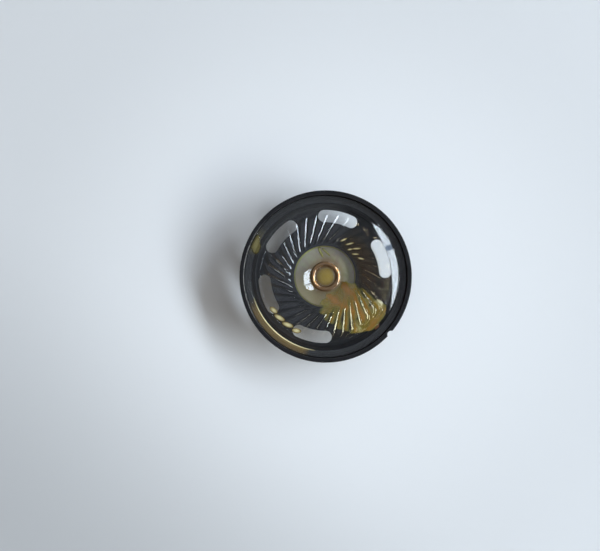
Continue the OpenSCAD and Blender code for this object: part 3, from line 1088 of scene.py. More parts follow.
@dataclass
class Diaphragm:
    """The clear film, as the moving cone and the surround."""

    film: Film
    finishes: Finishes
    steps_a_rib: int = 20
    gathering: float = 1.6
    pip_r: float = 0.24
    pip_rise: float = 0.07

    def tree(self, knots: Sequence[tuple[float, int]]) -> GeometryTree:
        """Writes the film's rule as nodes.

        Args:
            knots: Radii where the spacing of the rings changes, each with the rings that lead up to it.

        Returns:
            The tree.
        """
        f = self.film
        rings = sum(count for _, count in knots)
        geometry = GeometryTree("swirl_film", {
            "Rings": rings + 1, "Steps Around": f.ribs * self.steps_a_rib + 1,
            "Edge Height": f.edge_z, "Dome Rise": f.dome_rise,
            "Rib Count": float(f.ribs), "Rib Rise": f.rib_rise, "Rib Tangent Radius": f.rib_tangent_r,
            "Rib Phase": math.radians(f.rib_phase) + math.acos(f.rib_tangent_r / f.rib_middle),
        })
        number = geometry.number
        grid = geometry.node("GeometryNodeMeshGrid", Size_X=1.0, Size_Y=1.0,
                             Vertices_X=number("Rings"), Vertices_Y=number("Steps Around"))
        split = geometry.node("ShaderNodeSeparateXYZ",
                              Vector=geometry.node("GeometryNodeInputPosition").outputs[0])
        ring = (Field(geometry.tree, split.outputs["X"]) + 0.5) * float(rings)
        turn = Field(geometry.tree, split.outputs["Y"]) + 0.5
        r = ring * 0.0 + knots[0][0]
        passed = 0
        for (inner, _), (outer, count) in zip(knots, knots[1:]):
            r = r + ring.step(passed, passed + count) * (outer - inner)
            passed += count
        cell = (turn * number("Rib Count") + 0.5).fraction() - 0.5
        to_valley = 0.5 - cell.size()
        gathered = cell.sign() * (0.5 - 0.5 * (to_valley * 2.0) ** self.gathering)
        share = turn + (gathered - cell) / number("Rib Count")
        lean = (number("Rib Tangent Radius") / r.least(f.rib_start).most(f.rib_end)).arc_cosine()
        angle = share * math.tau + number("Rib Phase") - lean
        height = self._height(geometry, r) + self._rib(geometry, r, gathered)
        place = geometry.node("ShaderNodeCombineXYZ", X=r * angle.cosine() * MM, Y=r * angle.sine() * MM,
                              Z=height * MM)
        moved = geometry.node("GeometryNodeSetPosition", Geometry=grid.outputs["Mesh"],
                              Position=place.outputs[0])
        merged = geometry.node("GeometryNodeMergeByDistance", Geometry=moved.outputs["Geometry"],
                               Distance=0.002 * MM)
        geometry.close(merged.outputs["Geometry"], self.finishes.film)
        return geometry

    def _height(self, geometry: GeometryTree, r: Field) -> Field:
        """Height of the smooth film as a field, by the same rule as Film.height.

        Args:
            geometry: The tree.
            r: Radius.

        Returns:
            The height.
        """
        f = self.film

        def lift(offset: Field, half: float, rise: float) -> Field:
            """Height of an arc above its ends."""
            radius = f.bow(half, rise)
            return (radius ** 2 - offset * offset).root() - math.sqrt(radius ** 2 - half ** 2)

        dome = (1.0 - (r / f.bead_in) * (r / f.bead_in)) * geometry.number("Dome Rise")
        pip = (1.0 - r.smooth(0.5 * self.pip_r, self.pip_r)) * self.pip_rise
        bead = lift(r - f.bead_r, f.bead_half, f.bead_rise)
        flank = r.band(f.arch_in, f.flank_r, f.flank_r, f.rib_start) * f.flank_rise
        arch = lift(r - f.arch_mid, f.arch_half, f.rise) + flank
        rolls = (1.0 - ((r - f.arch_out) * (f.rolls * math.tau / f.flat)).cosine()) * f.roll / 2
        lip = r.smooth(f.outer - 0.22, f.outer) * f.lip_rise
        outer = choose(r.below(f.arch_out), arch, rolls + lip)
        inner = choose(r.below(f.bead_in), dome + pip, bead)
        return choose(r.below(f.arch_in), inner, outer) + geometry.number("Edge Height")

    def _rib(self, geometry: GeometryTree, r: Field, cell: Field) -> Field:
        """Height of the ribs above the smooth film: rounded lobes that meet in narrow valleys.

        Args:
            geometry: The tree.
            r: Radius.
            cell: Place across one rib's share of the circle, from -0.5 to 0.5.

        Returns:
            The height.
        """
        f = self.film
        valley = f.rib_valley
        across = cell.size() * 2.0
        lobe = 1.0 - across * across
        rounded = 1.0 - (1 - valley) ** 2 - (1 - valley) * valley
        floor = rounded + (1.0 - across) * (1.0 - across) * ((1 - valley) / valley)
        crest = choose(across.below(1 - valley), lobe, floor) - rounded
        along = (r - f.rib_start) / (f.rib_end - f.rib_start)
        tail = along + (cell + 0.5) * f.rib_slant
        taper = along.smooth(0.0, f.rib_lead_in) * (1.0 - tail.smooth(1 - f.rib_run_out, 1.0))
        return crest * taper * (r / f.rib_middle) * geometry.number("Rib Rise")

    def build(self) -> list[bpy.types.Object]:
        """Makes both stretches of film and ties the cone to its body.

        Returns:
            The cone and the surround.
        """
        f = self.film
        ribs_in = f.rib_start + (f.rib_end - f.rib_start) * f.rib_lead_in
        ribs_out = f.rib_end - (f.rib_end - f.rib_start) * (f.rib_run_out + f.rib_slant)
        cone = self.tree([
            (0.0, 0), (0.3, 2), (f.bead_in, 4), (f.arch_in, 10), (f.arch_in + 0.12, 1), (f.flank_r, 5),
            (f.rib_start, 3), (ribs_in, 8), (ribs_out, 17), (f.rib_end, 14), (f.cone, 2)]
        ).make("film_cone", wall=f.wall * MM)
        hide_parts("diaphragm_cone")
        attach(cone, COIL_BODY)
        surround = self.tree([(f.cone, 0), (f.arch_out, 8), (f.outer, 34)]).make(
            "film_surround", wall=f.wall * MM)
        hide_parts("diaphragm_surround")
        f.flex(surround)
        return [cone, surround]


@dataclass
class VoiceCoil:
    """The winding, its former and the lacquered ring that joins them to the film."""

    film: Film
    finishes: Finishes
    wire: float = 0.11
    core_out: float = 4.0
    ring_r: float = 3.71
    ring_half: float = 0.66
    ring_slope: float = 0.4
    ring_shoulder: float = 0.47
    ring_drop: float = 0.1
    ring_round: float = 0.09
    ring_fall: float = 0.26
    foot: float = 0.06
    varnish_out: float = 3.04
    varnish_t: float = 0.05

    def winding(self) -> list[bpy.types.Object]:
        """Makes the outer layer of turns over a plain core.

        Returns:
            The turns and the core.
        """
        lo, hi = (Vector(corner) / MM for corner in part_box("voice_coil"))
        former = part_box("coil_former")[1][0] / MM
        height = hi.z - lo.z
        turns = height / self.wire - 1
        geometry = GeometryTree("wound_wire", {
            "Turns": turns, "Coil Radius": (hi.x - self.wire / 2) * MM, "Height": (height - self.wire) * MM,
            "Wire Radius": self.wire / 2 * MM, "Steps a Turn": 72, "Wire Sides": 8,
        })
        number = geometry.number
        spiral = geometry.node("GeometryNodeCurveSpiral", Resolution=number("Steps a Turn"),
                               Rotations=number("Turns"), Start_Radius=number("Coil Radius"),
                               End_Radius=number("Coil Radius"), Height=number("Height"))
        ring = geometry.node("GeometryNodeCurvePrimitiveCircle", Resolution=number("Wire Sides"),
                             Radius=number("Wire Radius"))
        tube = geometry.node("GeometryNodeCurveToMesh", Curve=spiral.outputs["Curve"],
                             Profile_Curve=ring.outputs["Curve"], Fill_Caps=True)
        up = geometry.node("ShaderNodeCombineXYZ", Z=(lo.z + self.wire / 2) * MM)
        moved = geometry.node("GeometryNodeSetPosition", Geometry=tube.outputs["Mesh"], Offset=up.outputs[0])
        geometry.close(moved.outputs["Geometry"], self.finishes.enamel)
        turns_piece = geometry.make("coil_turns")
        core = lathe("coil_core", [
            (former, lo.z + 0.03), (self.core_out, lo.z + 0.03), (self.core_out, hi.z - 0.03),
            (former, hi.z - 0.03)], 96, self.finishes.enamel)
        for piece in (turns_piece, core):
            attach(piece, COIL_BODY)
        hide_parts("voice_coil")
        return [turns_piece, core]

    def collar(self) -> bpy.types.Object:
        """Makes the glossy copper-brown ring under the film's bead, with two sloping flanks and steep sides.

        Returns:
            The ring.
        """
        f = self.film
        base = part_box("coil_collar")[0][2] / MM
        half, shoulder, steps = self.ring_half, self.ring_shoulder, 40
        crest = f.height(f.bead_r) - f.wall / 2 - self.ring_drop
        crown = []
        for i in range(steps + 1):
            off = half - 2 * half * i / steps
            fall = self.ring_slope * (math.hypot(off, self.ring_round) - self.ring_round)
            steep = max(0.0, (abs(off) - shoulder) / (half - shoulder))
            crown.append((self.ring_r + off, crest - fall - self.ring_fall * steep ** 2))
        foot = self.foot
        inner, outer = self.ring_r - half, self.ring_r + half
        outline = crown + [(inner, base + foot), (inner + foot, base), (outer - foot, base), (outer, base + foot)]
        ring = lathe("coil_ring", outline, 144, self.finishes.lacquer)
        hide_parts("coil_collar")
        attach(ring, COIL_BODY)
        return ring

    def varnish(self) -> bpy.types.Object:
        """Makes the thin olive varnish under the film's dome, browner towards its edge. Its light olive is painted
        light that stands in for the pole lit deep inside the coil, and its darker, browner edge is painted shade at
        the coil's wall.

        Returns:
            The varnish.
        """
        f = self.film
        steps, top, under = 24, [], []
        for i in range(steps + 1):
            r = self.varnish_out * i / steps
            z = f.under(min(r, f.bead_in - 0.01))
            top.append((r, z))
            under.append((r, z - self.varnish_t))
        piece = cap("dome_varnish_painted_light", top + under[::-1], (0.0, 0.0, 0.0), 96, self.finishes.dome_glue_painted_light)
        # painted light and shade: depth 0.3 in the middle keeps the varnish light olive over the pole's shade, and
        # the depth, with the darker brown, rises towards the coil's wall
        depths = []
        for vertex in piece.data.vertices:
            r = math.hypot(vertex.co.x, vertex.co.y) / MM
            depths.append(0.3 + 0.7 * max(0.0, (r - 1.0) / (self.varnish_out - 1.0)) ** 1.8)
        paint_depth(piece, depths)
        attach(piece, COIL_BODY)
        return piece

    def build(self) -> list[bpy.types.Object]:
        """Makes the winding, the ring and the varnish, and dresses the former."""
        dress("coil_former", self.finishes.former)
        return [*self.winding(), self.collar(), self.varnish()]


@dataclass
class Leads:
    """The two leads, the amber patch that holds them and the drop at the rim."""

    film: Film
    finishes: Finishes
    lead_d: float = 0.22
    angle: float = -45.0
    spread: float = 32.0
    skew: float = 8.0
    ease: float = 2.7
    settle: float = 0.55
    board_angle: float = -42.5
    film_start: float = 4.67
    film_end: float = 20.85
    drop: float = 0.455
    ragged: tuple[float, float] = (0.22, 0.12)
    left: tuple[tuple[float, float], ...] = (
        (4.9, -3.2), (8.0, -6.6), (10.2, -8.4), (12.3, -9.1), (13.8, -8.8), (15.8, -8.0), (18.2, -6.4),
        (20.8, -1.5))
    right: tuple[tuple[float, float], ...] = (
        (4.9, 2.4), (8.4, 4.4), (12.5, 5.5), (16.0, 6.1), (19.4, 6.7), (20.8, 4.6))
    lump_r: float = 0.95
    lump_turn: float = 0.6
    lump_drop: float = 0.62
    steps: int = 24
    wire_rings: int = 150
    wire_sides: int = 12

    def bearing(self, side: Direction, t: float) -> float:
        """Angle between a lead and the middle of the pair, in degrees.

        Args:
            side: Which lead.
            t: How far along the film, from 0 at the coil to 1 at the rim.

        Returns:
            The angle.
        """
        turn_in = (1 - t) ** self.ease
        return side.value * (self.spread * turn_in + self.settle) - self.skew * turn_in

    def route(self, side: Direction) -> list[Point]:
        """Points along one lead, in millimetres, where its CAD solid lies.

        Args:
            side: Which lead.

        Returns:
            The points.
        """
        f = self.film
        points = []
        for i in range(self.steps + 1):
            t = i / self.steps
            r = self.film_start + (self.film_end - self.film_start) * t
            points.append((*around(r, self.angle + self.bearing(side, t)), f.height(r) - self.drop))
        y = side.value * self.lead_d
        descent = [
            (20.72, 1.2 * y, self.angle, 11.84), (19.8, 1.5 * y, (self.angle + self.board_angle) / 2, 9.5),
            (19.63, 2 * y, self.board_angle, 8.5), (19.63, 2.4 * y, self.board_angle, 7.6),
            (19.75, 3 * y, self.board_angle, 6.75), (19.95, side.value * 1.69, self.board_angle, 6.6)]
        return points + [(*beside(along, across, turn), z) for along, across, turn, z in descent]

    def wire(self, side: Direction) -> bpy.types.Object:
        """Sweeps one lead along its route.

        Args:
            side: Which lead.

        Returns:
            The lead.
        """
        name = f"lead_{side.name.lower()}"
        curve = bpy.data.curves.new(name, "CURVE")
        curve.dimensions = "3D"
        spline = curve.splines.new("BEZIER")
        route = self.route(side)
        spline.bezier_points.add(len(route) - 1)
        for point, place in zip(spline.bezier_points, route):
            point.co = [c * MM for c in place]
            point.handle_left_type = point.handle_right_type = "AUTO"
        geometry = GeometryTree("lead_wire", {
            "Wire Radius": self.lead_d / 2 * MM, "Rings": self.wire_rings, "Sides": self.wire_sides})
        number = geometry.number
        along = geometry.node("GeometryNodeResampleCurve", Curve=geometry.entry.outputs["Geometry"],
                              Count=number("Rings"))
        ring = geometry.node("GeometryNodeCurvePrimitiveCircle", Resolution=number("Sides"),
                             Radius=number("Wire Radius"))
        tube = geometry.node("GeometryNodeCurveToMesh", Curve=along.outputs["Curve"],
                             Profile_Curve=ring.outputs["Curve"], Fill_Caps=True)
        geometry.close(tube.outputs["Mesh"], self.finishes.lead)
        piece = geometry.make(name, source=curve)
        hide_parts(f"lead_wire_{side.name.lower()}")
        self.flex(piece)
        return piece

    def flex(self, piece: bpy.types.Object) -> None:
        """Bakes a piece's place into its mesh.

        Args:
            piece: The piece.
        """
        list(around(self.film.outer * MM, self.angle))
        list(around((self.film.cone - 0.4) * MM, self.angle))
        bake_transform(piece)

    def glue_depth(self, r: float, a: float) -> float:
        """How deep the glue lies at a place on the film, from 0 to 1.

        Args:
            r: Radius in millimetres.
            a: Angle in degrees from the middle of the pair of leads.

        Returns:
            The depth.
        """
        f = self.film
        t = min(max((r - self.film_start) / (self.film_end - self.film_start), 0.0), 1.0)
        along = min(max((r - f.rib_start) / (f.rib_end - f.rib_start), 0.0), 1.0)
        rib = (a + self.angle - f.rib_bearing(max(r, f.rib_start))) * f.ribs
        depth = 0.32 + 0.1 * math.sin(r * 1.7 + a * 0.21)
        depth -= 0.32 * math.cos(math.radians(rib - 60)) * math.sin(math.pi * along) ** 0.5
        for side in Direction:
            away = math.radians(a - self.bearing(side, t)) * r
            depth += 0.4 * math.exp(-(away / 0.8) ** 2) * (1 - t) ** 0.7
            depth += 0.45 * math.exp(-(away / 2.2) ** 2) * (1 - t) ** 1.6
        depth += 0.5 * max(0.0, t - 0.82) / 0.18
        return min(max(depth, 0.0), 1.0)

    def patch(self) -> bpy.types.Object:
        """Makes the amber patch, thick along the leads and thin at its borders.

        Returns:
            The patch.
        """
        left, right = self.left, self.right

        def place(t: float, s: float) -> Station:
            """Where the layer lies and how deep it is.

            Args:
                t: How far along it, from 0 to 1.
                s: How far across it, from 0 to 1.

            Returns:
                The station.
            """
            r = left[0][0] + (left[-1][0] - left[0][0]) * t
            ragged = self.ragged[0] * math.sin(r * 2.3) + self.ragged[1] * math.sin(r * 5.1 + 1.0)
            lo, hi = self._between(left, r) + ragged, self._between(right, r) + ragged * 0.7
            bend = math.degrees(math.asin(max(-0.98, min(0.98, (lo + (hi - lo) * s) / r))))
            swell = min(1.0, 18 * min(s, 1 - s, t, 1 - t)) ** 0.5
            depth = self.glue_depth(r, bend) * swell
            top = self.film.under(r)
            return *around(r, self.angle + bend), top, top - THINNEST - 0.16 * depth, depth

        piece = glue_layer("lead_patch", (90, 110), place, self.finishes.amber)
        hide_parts("lead_adhesive")
        self.flex(piece)
        return piece

    @staticmethod
    def _between(points: Sequence[tuple[float, float]], x: float) -> float:
        """Value at x along a line through points in rising order.

        Args:
            points: X and value of each point.
            x: Where the value is read.

        Returns:
            The value.
        """
        for (x0, y0), (x1, y1) in zip(points, points[1:]):
            if x <= x1:
                return y0 + (y1 - y0) * max(0.0, x - x0) / (x1 - x0)
        return points[-1][1]

    def seal(self) -> bpy.types.Object:
        """Makes the red-brown drop that holds both leads to the wall.

        Returns:
            The drop.
        """
        lo, hi = (Vector(corner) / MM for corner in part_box("lead_exit_sealant"))
        centre, radius = (lo + hi) / 2, (hi.z - lo.z) / 2
        drop = cap("exit_drop", arc((0.0, 0.0), radius, 90, -90, 16), tuple(centre), 32, self.finishes.sealant)
        paint_depth(drop, [0.7] * len(drop.data.vertices))
        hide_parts("lead_exit_sealant")
        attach(drop, HOUSING)
        return drop

    def tail(self) -> bpy.types.Object:
        """Makes the red-brown lump where both leads turn down at the film's edge.

        Returns:
            The lump.
        """
        f = self.film
        turn = self.angle + self.lump_turn
        cx, cy = around(self.film_end * MM, turn)
        cz = (f.height(self.film_end) - self.lump_drop) * MM
        lump = cap("lead_lump", arc((0.0, 0.0), self.lump_r, 90, -90, 12), (0.0, 0.0, 0.0), 28,
                   self.finishes.sealant)
        paint_depth(lump, [0.5] * len(lump.data.vertices))
        for vertex in lump.data.vertices:
            x, y, z = vertex.co
            ruffle = 1 + 0.12 * math.sin(5 * math.atan2(y, x)) + 0.08 * math.sin(9 * math.atan2(y, x) + 1)
            long, wide = 0.85 * x * ruffle, 1.05 * y * ruffle
            dx, dy = beside(long, wide, turn)
            vertex.co = (cx + dx, cy + dy, cz + 0.32 * z - 0.38 * long)
        self.flex(lump)
        return lump

    def build(self) -> list[bpy.types.Object]:
        """Makes both leads, the patch, the lump and the drop."""
        return [*(self.wire(side) for side in Direction), self.patch(), self.tail(), self.seal()]


@dataclass
class Motor:
    """The magnet system that shows through the film."""

    finishes: Finishes
    run_half: float = 0.5
    run_gap: float = 0.01
    bead_w: float = 0.35
    bead_r: float = 0.3

    def streak(self, name: str, start: tuple[float, float], end: tuple[float, float]) -> bpy.types.Object:
        """Makes one arm of the thin run of glue on the top plate.

        Args:
            name: The arm's name.
            start: Radius and direction in degrees of its wide end.
            end: Radius and direction of its thin end.

        Returns:
            The arm.
        """
        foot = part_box("top_plate")[1][2] / MM + self.run_gap

        def place(t: float, s: float) -> Station:
            """Where the layer lies and how deep it is.

            Args:
                t: How far along it, from 0 to 1.
                s: How far across it, from 0 to 1.

            Returns:
                The station.
            """
            side = 2 * s - 1
            r = start[0] + (end[0] - start[0]) * t
            half = self.run_half * (1 - 0.3 * t) * math.sin(math.pi * min(1.0, t + 0.08)) ** 0.3 + 0.03
            turn = start[1] + (end[1] - start[1]) * t + 1.2 * math.sin(5 * t) + math.degrees(half * side / r)
            depth = (1 - side * side) * min(1.0, 6 * t + 0.1) * min(1.0, 6 * (1 - t) + 0.1)
            return *around(r, turn), foot + THINNEST + 0.12 * depth, foot, depth

        piece = glue_layer(name, (24, 8), place, self.finishes.pale_glue)
        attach(piece, HOUSING)
        return piece

    def bead(self) -> bpy.types.Object:
        """Makes the pale glue line between the top plate and the basket's lip.

        Returns:
            The line.
        """
        lo, hi = (Vector(corner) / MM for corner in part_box("top_plate_glue_bead"))
        inner = hi.x - self.bead_w
        outline = [(inner, lo.z), (hi.x, lo.z), (hi.x, hi.z - THINNEST)]
        outline += arc((inner + THINNEST, hi.z + THINNEST), self.bead_r, -12, -85, 6)
        ring = lathe("plate_glue", outline, 120, self.finishes.pale_glue)
        paint_depth(ring, [0.8] * len(ring.data.vertices))
        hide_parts("top_plate_glue_bead")
        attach(ring, HOUSING)
        return ring

    def build(self) -> list[bpy.types.Object]:
        """Dresses the steel and the magnet, and adds the glue.

        Returns:
            The pieces of glue.
        """
        dress("top_plate", self.finishes.plate)
        dress("back_plate", self.finishes.plate)
        dress("pole_piece", self.finishes.pole)
        dress("ring_magnet", self.finishes.ferrite)
        return [self.streak("glue_run_long", (9.1, 101.0), (5.5, 96.5)),
                self.streak("glue_run_short", (8.6, 94.5), (6.2, 77.0)), self.bead()]


@dataclass
class Basket:
    """The black frame, the seat under the film's edge, and the glue that lies on and under the film."""

    film: Film
    finishes: Finishes
    smear_middle: float = 156.0
    smear_half: float = 6.0
    bead_arc: tuple[float, float] = (196.0, 262.0)
    bead_half: float = 0.19
    wash_r: tuple[float, float] = (9.6, 16.2)
    wash_arc: tuple[float, float] = (-22.0, 66.0)
    wash_lean: float = 10.0
    end_half: float = 0.8
    end_lean: float = 252.0
    end_drops: tuple[Point, ...] = ((18.0, 213.0, 1.5), (18.0, 221.9, 2.0), (17.85, 231.9, 2.0), (17.9, 241.7, 1.5))
    start_half: float = 0.3
    start_lean: float = 40.0
    start_drops: tuple[Point, ...] = (
        (11.9, 63.7, 1.3), (11.8, 53.6, 1.6), (12.1, 42.0, 1.6), (10.8, 37.0, 1.3), (10.6, 48.0, 1.0),
        (11.5, 27.0, 1.2))

    def smear(self) -> bpy.types.Object:
        """Makes the olive smear that runs from the rim on to the film.

        Returns:
            The smear.
        """
        f = self.film
        inner, outer = f.arch_out - 1.15, f.outer - 0.1

        def place(t: float, s: float) -> Station:
            """Where the layer lies and how deep it is.

            Args:
                t: How far along it, from 0 to 1.
                s: How far across it, from 0 to 1.

            Returns:
                The station.
            """
            side = 2 * s - 1
            r = inner + (outer - inner) * t
            half = self.smear_half * math.sin(math.pi * (0.08 + 0.62 * t)) ** 0.7
            lean = self.smear_middle + 3.5 * (0.5 - t) + 0.8 * math.sin(6 * t)
            depth = (1 - side * side) ** 0.5 * min(1.0, 5 * min(t, 1 - t) + 0.05)
            foot = f.height(r) + f.wall / 2 + f.roll + 0.01
            return *around(r, lean + half * side), foot + THINNEST + 0.08 * depth, foot, depth

        piece = glue_layer("edge_smear", (26, 20), place, self.finishes.olive_glue)
        f.flex(piece)
        return piece

    def golden_bead_highlight(self) -> bpy.types.Object:
        """Makes the thin golden bead of adhesive along the foot of the film's arch, whose bright cream middle is a
        painted highlight.

        Returns:
            The bead.
        """
        f = self.film
        start, end = self.bead_arc

        def place(t: float, s: float) -> Station:
            """Where the layer lies and how deep it is.

            Args:
                t: How far along it, from 0 to 1.
                s: How far across it, from 0 to 1.

            Returns:
                The station.
            """
            side = 2 * s - 1
            size = math.sin(math.pi * min(max(t, 0.004), 0.996)) ** 0.45
            r = f.arch_out + 0.02 + self.bead_half * side * size
            foot = max(f.height(r), f.edge_z) + f.wall / 2 + f.glue_gap
            top = foot + 0.01 + 0.13 * size * (1 - side * side) ** 0.5
            return *around(r, start + (end - start) * t), top, foot, 0.5 + 0.5 * size

        piece = glue_layer("golden_bead_highlight", (90, 8), place, self.finishes.glue_with_painted_glints)
        f.flex(piece)
        return piece

    def drop(self, name: str, centre: tuple[float, float], heading: float, size: tuple[float, float],
             depth: float) -> bpy.types.Object:
        """Makes one long drop of golden glue under the film, whose bright cream core is a painted glint.

        Args:
            name: The drop's name.
            centre: Radius and direction in degrees of its middle.
            heading: Which way it runs, in degrees from +X.
            size: Half of its length and of its width.
            depth: How deep its middle is, from 0 to 1.

        Returns:
            The drop.
        """
        cx, cy = around(*centre)

        def place(t: float, s: float) -> Station:
            """Where the layer lies and how deep it is.

            Args:
                t: How far along it, from 0 to 1.
                s: How far across it, from 0 to 1.

            Returns:
                The station.
            """
            u = math.sin(0.49 * math.pi * (2 * t - 1))
            v = (2 * s - 1) * math.sqrt(1 - u * u)
            dx, dy = beside(u * size[0], v * size[1], heading)
            top = self.film.under(math.hypot(cx + dx, cy + dy))
            bulge = max(0.0, 1 - u * u - v * v)
            return cx + dx, cy + dy, top, top - THINNEST - 0.1 * bulge, depth * bulge ** 1.3

        piece = glue_layer(name, (16, 10), place, self.finishes.glue_with_painted_glints)
        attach(piece, COIL_BODY)
        return piece

    def wash(self) -> bpy.types.Object:
        """Makes the thin brown wash under the inner ends of the ribs at the right.

        Returns:
            The wash.
        """
        (inner, outer), (start, end) = self.wash_r, self.wash_arc

        def place(t: float, s: float) -> Station:
            """Where the layer lies and how deep it is.

            Args:
                t: How far along it, from 0 to 1.
                s: How far across it, from 0 to 1.

            Returns:
                The station.
            """
            r = inner + (outer - inner) * t
            depth = math.sin(math.pi * s) ** 0.6 * math.sin(math.pi * min(1.0, 0.12 + t)) ** 0.7
            top = self.film.under(r)
            turn = start + (end - start) * s - self.wash_lean * t
            return *around(r, turn), top, top - THINNEST - 0.05 * depth, depth

        piece = glue_layer("rib_wash", (24, 60), place, self.finishes.brown_glue)
        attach(piece, COIL_BODY)
        return piece

    def build(self) -> list[bpy.types.Object]:
        """Dresses the frame and the seat ring, and makes the glue that lies on and under the film.

        Returns:
            The pieces of glue.
        """
        dress("basket", self.finishes.plastic)
        dress("diaphragm_seat_ring", self.finishes.seat)
        # painted glints: golden glue drops at the ribs' outer and inner ends, whose cream cores stand for the glints
        # there
        drops = [self.drop(f"end_drop_{i}", (r, a), a - self.end_lean, (half, self.end_half), 1.0)
                 for i, (r, a, half) in enumerate(self.end_drops)]
        drops += [self.drop(f"start_drop_{i}", (r, a), a - self.start_lean, (half, self.start_half), 0.8)
                  for i, (r, a, half) in enumerate(self.start_drops)]
        return [self.smear(), self.golden_bead_highlight(), self.wash(), *drops]


@dataclass
class Terminals:
    """The laminate board behind the floor, with its rivets, tags and solder."""

    finishes: Finishes
    board_angle: float = -42.5
    solder_x: float = 19.95
    solder_y: float = 2.3
    solder_r: float = 0.62
    solder_h: float = 0.45

    def joint(self, side: Direction) -> bpy.types.Object:
        """Makes one solder drop on the rear of a tag.

        Args:
            side: Which tag.

        Returns:
            The drop.
        """
        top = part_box("solder_joints")[1][2] / MM
        centre = (*beside(self.solder_x, side.value * self.solder_y, self.board_angle), top)
        r, h = self.solder_r, self.solder_h
        outline = [(0.0, 0.0), (r, 0.0), (r * 0.9, -h * 0.22), (r * 0.74, -h * 0.55), (r * 0.5, -h * 0.84),
                   (r * 0.22, -h * 0.97), (0.0, -h)]
        drop = cap(f"solder_{side.name.lower()}", outline, centre, 32, self.finishes.solder)
        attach(drop, HOUSING)
        return drop

    def build(self) -> list[bpy.types.Object]:
        """Dresses the board, the rivets and the tags, and makes the solder joints.

        Returns:
            The joints.
        """
        dress("terminal_board", self.finishes.board)
        for node in ("board_rivets", "tag_rivets"):
            dress(node, self.finishes.brass)
        for side in Direction:
            dress(f"terminal_tag_{side.name.lower()}", self.finishes.tinned)
        drops = [self.joint(side) for side in Direction]
        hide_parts("solder_joints")
        return drops


@dataclass(frozen=True)
class SkyPatch:
    """A soft patch of light in the room. A height is the sine of the angle above the floor."""

    colour: Colour
    azimuth: float | None = None
    reach: tuple[float, float] = (0.0, 0.0)
    above: tuple[float, float] | None = None
    below: tuple[float, float] | None = None

    def share(self, x: Field, y: Field, height: Field) -> Field:
        """How much of the patch a direction sees.

        Args:
            x: The direction's X.
            y: Its Y.
            height: Its Z.

        Returns:
            A number from 0 to 1.
        """
        shares = []
        if self.azimuth is not None:
            facing = towards(x, y, self.azimuth) / (x * x + y * y).root().least(0.01)
            shares.append(facing.smooth(*(math.cos(math.radians(angle)) for angle in self.reach)))
        if self.above:
            shares.append(height.smooth(*self.above))
        if self.below:
            shares.append(1.0 - height.smooth(*self.below))
        return math.prod(shares[1:], start=shares[0])


